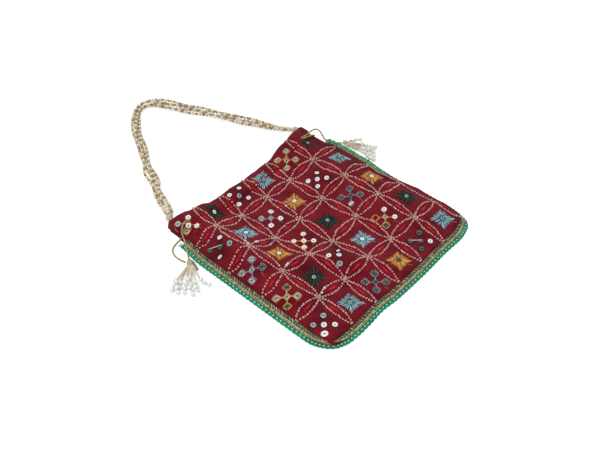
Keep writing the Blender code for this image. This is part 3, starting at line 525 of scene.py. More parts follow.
# Camera, light and the white surface
def look():
    back = Vector((sin(AZIMUTH) * cos(ELEVATION), -cos(AZIMUTH) * cos(ELEVATION), sin(ELEVATION)))
    camera = linked("camera", bpy.data.cameras.new("camera"))
    camera.location = TARGET + back * DISTANCE
    camera.rotation_euler = back.to_track_quat("Z", "Y").to_euler()
    camera.data.lens = 50
    camera.data.sensor_width = 36
    camera.data.clip_start, camera.data.clip_end = 0.01, 50
    SCENE.camera = camera
    SCENE.view_settings.view_transform = "Standard"


def area_light(name, place, size, power, colour):
    light = bpy.data.lights.new(name, "AREA")
    light.size, light.energy, light.color = size, power, colour
    obj = linked(name, light)
    obj.location = place
    obj.rotation_euler = (place - TARGET).to_track_quat("Z", "Y").to_euler()


def surroundings():
    """A pale studio that the camera sees as pure white."""
    world = bpy.data.worlds.new("studio")
    world.use_nodes = True
    nodes, links = world.node_tree.nodes, world.node_tree.links
    lit, seen = nodes["Background"], nodes.new("ShaderNodeBackground")
    for shader, colour, strength in ((lit, STUDIO_COLOUR, STUDIO_STRENGTH),
                                     (seen, (1, 1, 1, 1), 1.0)):
        shader.inputs["Color"].default_value = colour
        shader.inputs["Strength"].default_value = strength
    choose = nodes.new("ShaderNodeMixShader")
    path = nodes.new("ShaderNodeLightPath")
    links.new(path.outputs["Is Camera Ray"], choose.inputs["Fac"])
    for socket, shader in ((1, lit), (2, seen)):
        links.new(shader.outputs["Background"], choose.inputs[socket])
    links.new(choose.outputs["Shader"], nodes["World Output"].inputs["Surface"])
    SCENE.world = world
    area_light("key", Vector((-0.5, -0.15, 1.0)), 0.6, 6.4, (1.0, 0.98, 0.95))
    area_light("fill", Vector((0.7, 0.5, 0.8)), 0.9, 2.4, (0.95, 0.97, 1.0))


def floor():
    """A white surface that glows a little towards the camera."""
    mesh = bpy.data.meshes.new("floor")
    corners = ((-1, -1), (1, -1), (1, 1), (-1, 1))
    mesh.from_pydata([(FLOOR_SIZE * x, FLOOR_SIZE * y, FLOOR_Z) for x, y in corners], [],
                     [(0, 1, 2, 3)])
    mat = bpy.data.materials.new("white_surface")
    mat.use_nodes = True
    nodes, links = mat.node_tree.nodes, mat.node_tree.links
    shader = nodes["Principled BSDF"]
    shader.inputs["Base Color"].default_value = (0.9, 0.9, 0.9, 1)
    shader.inputs["Roughness"].default_value = 0.9
    glow = nodes.new("ShaderNodeEmission")
    glow.inputs["Color"].default_value = (1, 1, 1, 1)
    glow.inputs["Strength"].default_value = 1.0
    path = nodes.new("ShaderNodeLightPath")
    share = nodes.new("ShaderNodeMath")
    share.operation = "MULTIPLY"
    share.inputs[1].default_value = FLOOR_GLOW
    add = nodes.new("ShaderNodeAddShader")
    links.new(path.outputs["Is Camera Ray"], share.inputs[0])
    links.new(share.outputs[0], glow.inputs["Strength"])
    links.new(shader.outputs["BSDF"], add.inputs[0])
    links.new(glow.outputs["Emission"], add.inputs[1])
    links.new(add.outputs["Shader"], nodes["Material Output"].inputs["Surface"])
    mesh.materials.append(mat)
    linked("floor", mesh)


STUDIO_COLOUR, STUDIO_STRENGTH = (0.95, 0.97, 1.0, 1), 0.52
FLOOR_SIZE, FLOOR_Z, FLOOR_GLOW = 6.0, -0.2 * MM, 0.42
look()
surroundings()
floor()


# The drawstrings' free ends, the handle and the tassels follow the solids' own routes
LEFT_FRONT = [(-83.2, 89.6, 14.4), (-86.7, 90.2, 14.2), (-89.6, 90.6, 12.2), (-92.0, 90.2, 9.9),
              (-94.2, 88.4, 7.6), (-96.2, 85.8, 6.0), (-98.4, 81.6, 5.4), (-101.2, 76.4, 5.2),
              (-105.6, 69.6, 3.8), (-109.0, 64.0, 2.4), (-112.2, 59.6, 2.2)]
LEFT_SIDE = [(-95.6, 86.4, 1.9), (-98.4, 86.0, 1.3), (-104.2, 85.2, 1.0), (-109.9, 83.3, 1.0),
             (-113.4, 80.9, 1.0), (-115.3, 77.9, 1.0), (-116.5, 74.4, 1.0), (-116.9, 70.6, 1.0),
             (-116.7, 66.4, 1.1), (-115.8, 60.6, 1.6)]
RIGHT_FRONT = [(77.0, 92.6, 15.0), (80.6, 92.6, 15.0), (84.6, 92.6, 14.6), (88.8, 93.0, 14.2),
               (93.4, 94.4, 13.0), (98.5, 95.5, 12.0), (102.5, 95.0, 11.0), (105.3, 93.6, 9.5),
               (106.1, 90.7, 7.6), (105.5, 87.6, 5.4), (105.0, 84.2, 3.0), (105.2, 80.6, 1.2),
               (106.6, 76.6, 0.9), (108.6, 72.4, 0.9), (111.6, 68.8, 1.0), (113.8, 66.2, 1.6)]
RIGHT_SIDE = [(78.4, 90.8, 14.6), (82.5, 90.6, 13.9), (86.7, 90.1, 13.4), (91.5, 90.1, 11.6),
              (95.2, 90.6, 9.0), (98.8, 93.0, 6.0), (100.4, 96.2, 3.6), (99.8, 99.6, 2.2),
              (97.4, 101.8, 1.9)]
HANDLE_ROUTE = [(-88.5, 113.5), (-84.5, 119), (-79, 133), (-71, 150), (-61, 169), (-50.5, 190),
                (-39.5, 211), (-28, 232), (-16.5, 250), (-4, 264), (9, 271), (19, 268.5),
                (26, 261), (31.5, 249), (38, 233), (46, 215), (54.5, 196), (63, 177.5),
                (70.5, 159), (77, 142), (84.5, 127.5), (92, 116.5)]
LEFT_KNOT = (-114.2, 56.6)
RIGHT_KNOT = (115.3, 63.4)
LEFT_STRINGS = [
    (196, [(-137.5, 49.9), (-142.0, 46.6), (-146.8, 43.8)]),
    (215, [(-136.1, 44.3), (-140.6, 40.8), (-145.0, 37.7)]),
    (240, [(-131.1, 36.0), (-134.0, 30.6), (-137.6, 26.2)]),
    (263, [(-121.0, 34.0), (-121.5, 29.1), (-120.3, 23.9)])]
LEFT_LOOSE = [[(-133.6, 39.4), (-137.9, 36.8), (-141.6, 33.0)],
              [(-126.4, 34.9), (-129.1, 29.9), (-131.7, 25.8)],
              [(-139.8, 45.7), (-143.4, 40.9)], [(-130.6, 40.9), (-136.0, 32.4)]]
RIGHT_STRINGS = [
    (-28, [(126.8, 58.3), (130.5, 55.1)]),
    (-53, [(126.2, 43.9), (128.4, 39.5), (130.7, 35.0)]),
    (-78, [(120.3, 42.4), (121.8, 38.4), (125.3, 35.2), (123.0, 31.2)]),
    (-100, [(114.3, 32.7), (112.9, 28.2), (113.8, 23.7)])]
RIGHT_LOOSE = [[(116.6, 37.8), (118.4, 33.0), (118.9, 27.2)], [(122.7, 46.7), (119.8, 35.5)]]
CORD_R = 0.9 * MM
CORD_LAY = 5.5 * MM              # length of one twist of the cord
STRANDS = 5
STRAND_R = 1.5 * MM
STRAND_RING = 4.1 * MM
STRAND_TAPER = 34 * MM           # the strands draw together towards the bindings
# Strands that sag away from the bundle: number, share of the length, spread, distance
STRAYS = ((1, 0.1, 0.03, 3.4 * MM), (3, 0.19, 0.026, 2.8 * MM), (4, 0.46, 0.03, -2.6 * MM),
          (0, 0.66, 0.03, 2.2 * MM), (2, 0.8, 0.025, -2.0 * MM))
HANDLE_TWIST = 170 * MM
PEARL_R = 2.35 * MM
KNOT_WRAP_R = 2.6 * MM
STRING_ROOT = 7.1 * MM
THREADS_PER_STRING = 3
FRAYED_ENDS = 110
CUT_END = ((2.5, -1.5, 0), (1.2, -6.5, -0.6), (-0.4, -11.2, -1.0))


def smooth_curve(points, spacing):
    """Evenly spaced points on a Catmull-Rom curve through the route's own points."""
    pts = [Vector(p) for p in points]
    pts = [pts[0] * 2 - pts[1]] + pts + [pts[-1] * 2 - pts[-2]]
    fine = []
    for k in range(1, len(pts) - 2):
        a, b, c, d = pts[k - 1:k + 3]
        for n in range(12):
            t = n / 12
            fine.append(0.5 * (2 * b + (c - a) * t + (2 * a - 5 * b + 4 * c - d) * t ** 2
                               + (3 * b - a - 3 * c + d) * t ** 3))
    fine.append(pts[-2])
    return resample(fine, spacing)


def lengths_of(points):
    out = [0.0]
    for a, b in zip(points, points[1:]):
        out.append(out[-1] + (b - a).length)
    return out


def resample(points, spacing):
    lengths = lengths_of(points)
    count = max(2, round(lengths[-1] / spacing) + 1)
    out, k = [], 0
    for n in range(count):
        target = lengths[-1] * n / (count - 1)
        while k < len(points) - 2 and lengths[k + 1] < target:
            k += 1
        span = max(lengths[k + 1] - lengths[k], 1e-9)
        out.append(points[k].lerp(points[k + 1], (target - lengths[k]) / span))
    return out


def rope_ring(radius, lobes, twist, sides=12, depth=0.14):
    """Section of a twisted cord."""
    def ring(k, travelled):
        turn = 2 * pi * travelled / twist
        angles = [2 * pi * n / sides for n in range(sides)]
        return [around(0, 0, radius * (1 - depth + depth * cos(lobes * (a - turn))), a)
                for a in angles]
    return ring


def thread_ring(radius, sides=5):
    """Section of a thin thread of two plies."""
    return rope_ring(radius * MM, 2, 3 * MM, sides)


def drawstring(name, route):
    path = smooth_curve([Vector(p) * MM for p in route], 0.7 * MM)
    heap = Heap()
    heap.sweep(path, rope_ring(CORD_R, 3, CORD_LAY))
    heap.make(name + "_cord", [CORD], "gold_cord", name)


# Half length and radius of the handle's two kinds of beads, in mm
HANDLE_PEARL, RICE_BEAD = (1.75, 1.75), (2.0, 1.4)
BEAD_GAP = 0.25 * MM
ALTERNATING = 0.93               # how often the kinds take turns
PALER_END = 22 * MM              # rice beads are pale as often as not this near an end


def handle_strand(number, centre):
    """One limp strand: pearls and rice beads in turn on a thread."""
    path = []
    lengths = lengths_of(centre)
    whole = lengths[-1]
    for k, p in enumerate(centre):
        along = heading(centre, k)
        turn = 2 * pi * (number / STRANDS + lengths[k] / HANDLE_TWIST)
        s = lengths[k] / whole
        loose = 1 + 0.5 * sin(pi * s) * noise.noise(Vector((s * 9, number * 3.7, 1.0)))
        ring = STRAND_RING * min(mix(0.85, 1.0, ease(lengths[k] / STRAND_TAPER)),
                                 mix(0.4, 1.0, ease((whole - lengths[k]) / (2 * STRAND_TAPER))))
        if number == 0:
            ring *= 0.3
        lift = STRAND_RING + STRAND_R + 0.1 * MM + ring * sin(turn) * 0.95
        stray = sum(far * bump((s - at) / wide) for n, at, wide, far in STRAYS if n == number)
        path.append(p + Vector((-along.y, along.x, 0)) * (ring * loose * cos(turn) + stray)
                    + upwards(max(STRAND_R + 0.05 * MM, lift)))
    heap = Heap()
    heap.sweep(path[::4] + [path[-1]], thread_ring(0.35, 6), 2)
    travelled = lengths_of(path)
    where = 1.2 * MM + number * 1.3 * MM
    is_pearl = bool(number % 2)
    while where < travelled[-1] - 2.4 * MM:
        near_end = min(where, travelled[-1] - where) < PALER_END
        long, wide = HANDLE_PEARL if is_pearl else RICE_BEAD
        half, radius = long * MM * vary(0.92, 1.05), wide * MM * vary(0.95, 1.04)
        middle = where + half
        k = min(range(len(travelled)), key=lambda n: abs(travelled[n] - middle))
        heap.add(BEAD, laid(path[k], toward(AXIS_X, heading(path, k, 2)), half, radius, radius),
                 0 if is_pearl or near_end and CHANCE.random() < 0.5 else 1)
        where += 2 * half + BEAD_GAP
        is_pearl = not is_pearl if CHANCE.random() < ALTERNATING else is_pearl
    obj = heap.make(f"handle_beads_{number + 1}", [PEARL, GOLD_BEAD, STRING], "pearl_beads",
                    f"handle_strand_{number + 1}")


def wrapped(name, node, start, end, start_r, end_r, turns, mats):
    """Thread wound round a core from start to end."""
    heap = Heap()
    axis = end - start
    core = [start.lerp(end, k / 10) for k in range(11)]
    heap.sweep(core, lambda k, t: [around(0, 0, mix(start_r, end_r, k / 10) * 0.86, 2 * pi * n / 10)
                                   for n in range(10)], 0)
    side = Vector((-axis.y, axis.x, 0)).normalized()
    up = axis.normalized().cross(side)
    steps = turns * 10
    wind = []
    for k in range(steps + 1):
        t = k / steps
        a = 2 * pi * turns * t
        r = mix(start_r, end_r, t) * 0.9
        wind.append(start.lerp(end, t) + side * r * cos(a) + up * r * sin(a))
    radius = axis.length / turns * 0.52
    for a, b in zip(wind, wind[1:]):
        heap.stitch(a - (b - a) * 0.25, b + (b - a) * 0.25, radius, pick((0, 1)))
    heap.make(name, mats, "cream_thread", node)


def cords():
    for name, route in (("left_front", LEFT_FRONT), ("left_side", LEFT_SIDE),
                        ("right_front", RIGHT_FRONT), ("right_side", RIGHT_SIDE)):
        drawstring("drawstring_" + name, route)
    centre = smooth_curve([Vector((x, y, 0)) * MM for x, y in HANDLE_ROUTE], 1.0 * MM)
    for number in range(STRANDS):
        handle_strand(number, centre)
    up = upwards(STRAND_RING + STRAND_R)
    for side, end, before, long in (("left", centre[0], centre[24], 7.9 * MM),
                                    ("right", centre[-1], centre[-24], 5.8 * MM)):
        out = (end - before).normalized()
        wrapped("handle_wrap_" + side, "handle_binding_" + side, end + out * 0.3 * MM + up,
                end + out * long + up, 4.0 * MM, 2.1 * MM, 8, [WRAP, PEARL])
    tassel("left", LEFT_KNOT, LEFT_STRINGS, LEFT_LOOSE)
    tassel("right", RIGHT_KNOT, RIGHT_STRINGS, RIGHT_LOOSE)


def bare_threads(heap, start, first):
    """A few threads from the knot to the first pearl of a string."""
    for _ in range(THREADS_PER_STRING):
        off = Vector((vary(-1, 1), vary(-1, 1), vary(-0.5, 0.5))) * MM
        route = [start, start.lerp(first, 0.55) + off * 1.3, first + off * 0.7]
        heap.sweep(smooth_curve(route, 1.2 * MM), thread_ring(0.34), pick((0, 1)))


def pearl(heap, place, mat):
    size = PEARL_R * vary(0.9, 1.03)
    heap.add(BEAD, Matrix.Translation(place) @ Matrix.Diagonal((size, size, size, 1)), mat)


def pointing(degrees):
    return Vector((cos(radians(degrees)), sin(radians(degrees)), 0))


def tassel(side, knot, strings, loose):
    x, y = knot[0] * MM, knot[1] * MM
    middle = Vector((x, y, KNOT_WRAP_R))
    start = Vector((x, y, PEARL_R))
    down = pointing(strings[1][0]) * 2.4 * MM
    wrapped("tassel_wrap_" + side, "tassel_knot_" + side, middle - down, middle + down,
            2.5 * MM, 2.3 * MM, 4, [WRAP, CORD if side == "left" else STRING])
    threads = Heap()
    for k, (turn, pearls) in enumerate(strings):
        out = pointing(turn)
        beads = [Vector((px * MM, py * MM, PEARL_R)) for px, py in pearls]
        roots = [start + out * (KNOT_WRAP_R + 0.3 * MM), start + out * STRING_ROOT]
        path = smooth_curve(roots + beads, 0.8 * MM)
        heap = Heap()
        heap.sweep(path, thread_ring(0.5, 6), 1)
        bare_threads(threads, start + out * KNOT_WRAP_R, beads[0])
        for place in beads:
            pearl(heap, place, 0)
        obj = heap.make(f"tassel_{side}_pearls_{k + 1}", [CLEAR, STRING], "pearl_beads",
                        f"tassel_{side}_string_{k + 1}")
    for row in loose:
        # The short rows lie on top of the others
        z = PEARL_R * (1.0 if len(row) == 3 else 2.3)
        places = [Vector((px * MM, py * MM, z)) for px, py in row]
        bare_threads(threads, start, places[0])
        threads.sweep(smooth_curve([start] + places, 1.2 * MM), thread_ring(0.3))
        for place in places:
            pearl(threads, place, 3)
    if side == "left":
        # The cut end of the gold cord beside the knot
        cut = [middle + Vector(p) * MM for p in CUT_END]
        threads.sweep(smooth_curve(cut, 0.8 * MM), rope_ring(1.5 * MM, 3, 5 * MM), 2)
    else:
        # A frayed bunch of thread ends
        for _ in range(FRAYED_ENDS):
            a = middle + Vector((vary(-3, 6), vary(-15, -1), vary(-1.6, 2))) * MM
            turn, reach = vary(-2.6, 0.4), vary(2, 5) * MM
            b = a + Vector((cos(turn) * reach, sin(turn) * reach, vary(-1, 0.6) * MM))
            threads.stitch(a, b, vary(0.35, 0.7) * MM, pick((0, 0, 0, 1, 1)))
    obj = threads.make(f"tassel_{side}_threads", [STRING, ROSE_STRING, CORD, CLEAR], "cream_thread")


cords()


# Cloth
NX, NY = 150, 158
EDGE_STATION = 90 * MM
FRONT_EDGE_LEFT = 102 * MM
CORNER_ROUND = 5 * MM


def half_width(y0, full=HALF_WIDTH, right=False):
    """The casing is narrower; on the right the cloth only tapers towards the mouth's corner."""
    if right:
        return mix(full, MOUTH_HALF_WIDTH + 4.0 * MM, ease((y0 - 78 * MM) / (26 * MM)))
    return mix(full, MOUTH_HALF_WIDTH, ease((y0 - 66 * MM) / (14 * MM)))


def across(u, y0, full=HALF_WIDTH):
    """X at a share u of the width: the casing is narrower, and the corners are round."""
    x = u * HALF_WIDTH
    wide = half_width(y0, full, u > 0)
    if abs(x) > EDGE_STATION:
        share = (wide - EDGE_STATION) / (HALF_WIDTH - EDGE_STATION)
        x = copysign(EDGE_STATION + (abs(x) - EDGE_STATION) * share, x)
    near = min(y0 - BOTTOM_SEAM, MOUTH_Y - y0)
    if near < CORNER_ROUND:
        limit = wide - CORNER_ROUND + sqrt(max(0.0, CORNER_ROUND ** 2 - (CORNER_ROUND - near) ** 2))
        x = max(-limit, min(limit, x))
    return x


def up_to_mouth(x, y0):
    return y0 + ease((y0 - 52 * MM) / (32 * MM)) * (mouth_y(x) - MOUTH_Y)


def shares(count):
    """Even shares of the width from -1 to 1."""
    return [2 * k / count - 1 for k in range(count + 1)]


def cloth_object(name, rows, mat, node, thickness, offset, flip=False):
    wide = len(rows[0])
    faces = []
    for r in range(len(rows) - 1):
        for a in range(r * wide, r * wide + wide - 1):
            face = (a, a + 1, a + wide + 1, a + wide)
            faces.append(face[::-1] if flip else face)
    obj = dressed(name, [p for row in rows for p in row], faces, [mat], node)
    solid = obj.modifiers.new("Cloth thickness", "SOLIDIFY")
    solid.thickness, solid.offset = thickness, offset
    return obj


def hem_row(us, depth, level):
    """A row of the turned mouth at a depth below its fold, with its height from level(x)."""
    xs = [across(u, MOUTH_Y) for u in us]
    return [drawn_in(Vector((x, mouth_y(x) - depth, level(x)))) for x in xs]


# The bulge's edge: distance outwards and down from the cloth's top 98 mm from the middle
CURL = smooth_curve([Vector((x, 0, z)) * MM for x, z in
                     ((96, 0), (99, -0.1), (102, -0.7), (104.8, -1.8), (106.2, -3.0), (105.6, -3.7),
                      (102.5, -3.75))], 0.5 * MM)


def overlap(x, y, wide):
    """1 at the bottom left corner, where the cloth lies over the trim, and 0 away from it."""
    return bump(hypot(x + 103 * MM, y + 105 * MM) / wide)


def front_place(x, y):
    """The front cloth's surface, with its curled edge where it bulges over the trim."""
    place = Vector((x, y, front_top(x, y)))
    share = bulge(y)
    start = 96 * MM
    if x > start and share > 0:
        curl = CURL[min(round((x - start) / (HALF_WIDTH - start) * (len(CURL) - 1)), len(CURL) - 1)]
        curled = Vector((curl.x, y, max(front_top(98 * MM, y) + curl.z, 4.2 * MM)))
        place = place.lerp(curled, share)
    near = overlap(x, y, 15 * MM)
    return drawn_in(place + Vector((-2.6, -3.4, 2.0)) * near * MM)


def front_cloth():
    rows = []
    # Finer steps near the right edge, where the cloth curls
    us = [u for u in shares(NX) if u < 0.92] + [0.92 + 0.08 * k / 16 for k in range(17)]
    for r in range(NY + 1):
        y0 = mix(BOTTOM_SEAM, MOUTH_Y, r / NY)
        xs = [across(u, y0, FRONT_EDGE_LEFT if u < 0 else HALF_WIDTH) for u in us]
        rows.append([front_place(x, up_to_mouth(x, y0)) for x in xs])
    # The mouth fold and the hem under it, as (depth below the fold, drop below the front's edge)
    for depth, drop in ((-0.45, 0.6), (-0.5, 1.3), (0.2, 2.1), (1.5, 2.3), (7.0, 2.3), (13.0, 2.3)):
        rows.append(hem_row(us, depth * MM, lambda x: max(front_top(x, mouth_y(x)) - drop * MM,
                                                          2 * PANEL_T + GAP - 1.1 * MM)))
    rows.append(hem_row(us, HEM_LOWER, lambda x: max(
        front_top(x, mouth_y(x) - HEM_LOWER) - 2 * PANEL_T - GAP, 1.0 * MM)))
    obj = cloth_object("front_cloth", rows, CLOTH, "front_panel", 0.8 * MM, -1)


def back_cloth():
    count = 60
    us = shares(count)
    mid = PANEL_T / 2
    hem, low = mid + CHANNEL + PANEL_T, mid + PANEL_T + GAP
    rows = []
    for r in range(count - 1):
        y0 = mix(BOTTOM_SEAM, MOUTH_Y, r / count)
        xs = [across(u, y0) for u in us]
        rows.append([drawn_in(Vector((x, up_to_mouth(x, y0), mid))) for x in xs])
    for depth, z in ((2.2, mid), (1.2, mid + 0.5 * MM), (0.6, mid + 1.4 * MM),
                     (0.6, hem - 1.0 * MM), (1.0, hem - 0.2 * MM), (1.8, hem), (5.0, hem),
                     (9.0, hem), (13.5, hem), (16.5, low), (18.0, low)):
        rows.append(hem_row(us, depth * MM, lambda x: z))
    obj = cloth_object("back_cloth", rows, CLOTH_BACK, "back_panel",
                       0.8 * MM, 0)


def lining_cloth():
    """Two thin layers inside the pouch, joined at the sides and the bottom."""
    rows = []
    side, bottom, count = 93 * MM, -92 * MM, 64
    back = PANEL_T + GAP + 0.25 * MM

    def front(x, y, y0):
        edge = ease((side - abs(x)) / (6 * MM)) * ease((y0 - bottom) / (6 * MM))
        return mix(back + 1.0 * MM, front_top(x, y) - 2.5 * MM, edge)

    for steps, level in ((range(count, -1, -1), front),
                         (range(0, count + 1, 2), lambda x, y, y0: back)):
        for r in steps:
            y0 = mix(bottom, MOUTH_Y - 19.5 * MM, r / count)
            row = []
            for x in (u * side for u in shares(70)):
                y = y0 + ease((y0 - 52 * MM) / (28 * MM)) * (mouth_y(x) - MOUTH_Y)
                row.append((x, y, level(x, y, y0)))
            rows.append(row)
    obj = cloth_object("lining_cloth", rows, LINING, "lining", 0.4 * MM, 0, flip=True)


front_cloth()
back_cloth()
lining_cloth()


# Embroidery: petals of beads round a satin spindle, knots, flowers of sequins and stars
PETAL_WIDE_ROW, PETAL_WIDE_COLUMN = 4.7 * MM, 4.1 * MM
DOT_PITCH = 2.65 * MM
DOT_R = 1.08 * MM
SATIN_WIDE = 1.08 * MM
SATIN_SPAN = 0.17, 0.83
KNOT_STITCHES, KNOT_BEADS = 9, 6
# Petals with a few bigger pale beads, by their ends, and where along the petal these sit
PALE_BEADS = {((1, 2), (2, 2)): (0.3, 0.4), ((1, 3), (2, 3)): (0.12, 0.2, 0.28),
              ((1, 4), (2, 4)): (0.2, 0.32), ((1, 1), (1, 2)): (0.82, 0.9),
              ((3, 1), (3, 2)): (0.5,)}


def petal_lines():
    for row in range(1, ROWS):
        for column in range(COLUMNS):
            yield (column, row), (column + 1, row)
    for column in range(1, COLUMNS):
        for row in range(ROWS):
            yield (column, 1 - TOP_ROW_SHARE if row == 0 else row), (column, row + 1)
    # Petals folded in half over the edge on the right
    yield (COLUMNS, 2), (COLUMNS, 3)
    yield (COLUMNS, 3), (COLUMNS, 4)
    yield (COLUMNS, 4), (COLUMNS, 5)


def petal_side(a, b, t, wide):
    along = b - a
    side = Vector((-along.y, along.x)).normalized()
    return a + along * t + side * wide


def petals():
    dots, satin = Heap(), Heap()
    for start, end in petal_lines():
        a, b = node(*start), node(*end)
        along_row = start[1] == end[1]
        wide = PETAL_WIDE_ROW if along_row else PETAL_WIDE_COLUMN
        length = (b - a).length
        low = 0.05 if start[0] in (0, COLUMNS) or start[1] < 1 else 0.085
        high = 0.95 if end[0] == COLUMNS or end[1] == ROWS else 0.915
        if not along_row and start[1] < 1:
            low = 0.0
        folded = start[0] == end[0] == COLUMNS
        pale = PALE_BEADS.get((start, end), ())
        for sign in (-1,) if folded else (-1, 1):
            full = wide * vary(0.9, 1.06)
            lean = vary(-0.1, 0.1)
            count = round(length * (high - low) * 1.03 / DOT_PITCH)
            for k in range(count + 1):
                t = mix(low, high, k / count) + vary(-0.006, 0.006)
                bow = max(0.0, sin(pi * t)) ** 0.85 * (1 + lean * sin(2 * pi * t))
                place = petal_side(a, b, t, sign * full * bow)
                place += Vector((CHANCE.gauss(0, 0.17), CHANCE.gauss(0, 0.17))) * MM
                bright = sign > 0 and any(abs(t - p) < 0.5 * (high - low) / count for p in pale)
                size = DOT_R * (1.3 if bright else vary(0.82, 1.12))
                turn = atan2(b.y - a.y, b.x - a.x) + sign * 0.35 * cos(pi * t)
                dots.add(DOT, on_cloth(place.x, place.y, 0.25 * MM, turn, size, 0.7)
                         @ Matrix.Diagonal((1.0, 0.93, 1, 1)), 1 if bright else 0)
        if folded:
            continue
        stitches = round(length * 0.7 / (0.6 * MM))
        heart = vary(-0.06, 0.06)
        for k in range(stitches + 1):
            t = mix(*SATIN_SPAN, k / stitches)
            reach = SATIN_WIDE * sin(pi * mix(0.02, 0.98, k / stitches)) ** 0.8 + 0.15 * MM
            reach *= vary(0.85, 1.12)
            shift = vary(-0.2, 0.2) * MM
            p = petal_side(a, b, t - 0.014, reach + shift)
            q = petal_side(a, b, t + 0.014, -reach + shift)
            # Painted sheen: the brightest red in the middle of the spindle, darker tones towards
            # its ends, and now and then a stitch a tone darker by chance
            middle = abs(t - 0.5 - heart)
            shade = 0 if middle < 0.05 + vary(0, 0.05) else 1 if middle < 0.17 else 2
            if CHANCE.random() < 0.25:
                shade = min(2, shade + 1)
            satin.sew(p, q, (0.2, 0.2), 0.42, shade, 0.9)
    dots.make("petal_beads", [PINK, PALE], "pink_beading", "petal_lattice")
    satin.make("petal_satin", [SATIN_SHEEN, SATIN_MID, SATIN_DARK], "pink_beading")


def knots():
    heap = Heap()
    for column in range(1, COLUMNS):
        for row in range(1, ROWS):
            x, y = node(column, row)
            for k in range(KNOT_STITCHES):
                turn = pi * k / KNOT_STITCHES + vary(-0.15, 0.15)
                reach = vary(2.2, 3.1) * MM
                a, b = (seat(*around(x, y, r, turn), 0.25 * MM) for r in (-reach, reach))
                lift = upwards(vary(0.2, 0.7) * MM)
                heap.stitch(a + lift, b + lift, 0.48 * MM, 0, 0.8)
            for _ in range(KNOT_BEADS):
                turn = vary(0, 2 * pi)
                px, py = around(x, y, vary(0.6, 2.0) * MM, turn)
                heap.add(DOT, on_cloth(px, py, 0.75 * MM, size=0.62 * MM, flat=0.8), 1)
    heap.make("petal_knots", [KNOT, PINK], "pink_beading")


# Sequins: right, top, left, bottom, seen from the camera. States: W white, G grey, S silver,
# D dark, C white in a bold frame, B big white, H bent half, X lost with its thread frame left
TURNS = (-0.8, 0.78, -0.8 + pi, 0.78 + pi)
REACH = (9.2 * MM, 8.9 * MM, 9.2 * MM, 8.9 * MM)
FLOWERS = {  # for each row of a column: middle, right, top, left, bottom
    1: ("WWWSG", "DGWDH", "GDGGG", "GGDGD", "WWGGB"),
    3: ("GWWWW", "GWWGW", "CWWWC", "WXHWG", "DDDDD"),
    5: ("GGGGG", "WWWWW", "DDDDH", "GWWXD", "DWDDD")}
SEQUIN_R = 2.6 * MM
# The flower at the gathered left corner of the mouth: middle, right, top, left, bottom
CORNER_FLOWER = [(-86.9, 86.7), (-83, 79.1), (-82.9, 90.9), (-93.4, 94.2), (-90.9, 85.0)]
SEQUIN_MATS = [WHITE, GREY, SILVER, DARK, HOLE_SHADE]
MATS = {"W": 0, "B": 0, "H": 0, "C": 0, "G": 1, "S": 2, "D": 3}
# The three thread colours follow each other down a column, and columns start at their own place
COLOURS = ("mustard", "dark", "blue")
FIRST_COLOUR = (0, 1, 1, 2, 0, 1)
STAR_MIDDLE = {(2, 1): "W", (2, 2): "W", (2, 3): "W", (4, 2): "W", (4, 4): "W", (6, 3): "W",
               (4, 5): "D"}


def motif(column, row):
    """Place and thread colour of a flower or star."""
    x, y = grid_point(column - 0.5, max(row - 0.5, TOP_MOTIF_ROW))
    dx, dy = MOTIF_SHIFT[column - 1][row - 1]
    return x + dx * MM, y + dy * MM, COLOURS[(FIRST_COLOUR[column - 1] + row - 1) % 3]


def sequin(heap, x, y, state, size=1.0):
    """A cup sequin lying on the cloth, a little tilted."""
    tilt = Matrix.Rotation(vary(-0.12, 0.12), 4, "X") @ Matrix.Rotation(vary(-0.12, 0.12), 4, "Y")
    if state == "H":
        tilt = Matrix.Rotation(0.5, 4, "X")
    wide = SEQUIN_R * size * (1.32 if state == "B" else 1.0)
    place = on_cloth(x, y, 0.55 * MM) @ tilt @ Matrix.Diagonal(
        (wide, wide * (0.5 if state == "H" else 1.0), wide, 1))
    heap.add(SEQUIN_CUP, place, MATS[state])
    # A near-black disc in the hole: painted shade
    heap.add(SEQUIN_HOLE, place @ Matrix.Translation((0, 0, 0.05)), 4)


def frame_threads(heap, x, y, reach, mat, copies=2, radius=0.3):
    """Holding threads round a sequin, a small diamond with its corners towards the rows."""
    corners = [around(x, y, reach, t) for t in TURNS]
    for (ax, ay), (bx, by) in zip(corners, corners[1:] + corners[:1]):
        for _ in range(copies):
            j = [vary(-0.22, 0.22) * MM for _ in range(4)]
            heap.sew((ax + j[0], ay + j[1]), (bx + j[2], by + j[3]), (0.5, 0.5), radius,
                     mat + (CHANCE.random() < 0.4))


def link_thread(heap, a, b, mat):
    for _ in range(3):
        j = [vary(-0.4, 0.4) * MM for _ in range(2)]
        near, far = ([mix(p, q, t) + off for p, q, off in zip(a, b, j)] for t in (0.25, 0.8))
        heap.sew(near, far, (0.4, 0.4), 0.22, mat)


def loose_tail(heap, x, y, turn, length, mat):
    """A short end of thread lying on the cloth."""
    place = Vector((x, y))
    for _ in range(round(length / (0.9 * MM))):
        turn += vary(-0.45, 0.45)
        after = place + Vector((cos(turn), sin(turn))) * 0.9 * MM
        heap.sew(place, after, (0.35, 0.35), 0.2, mat)
        place = after


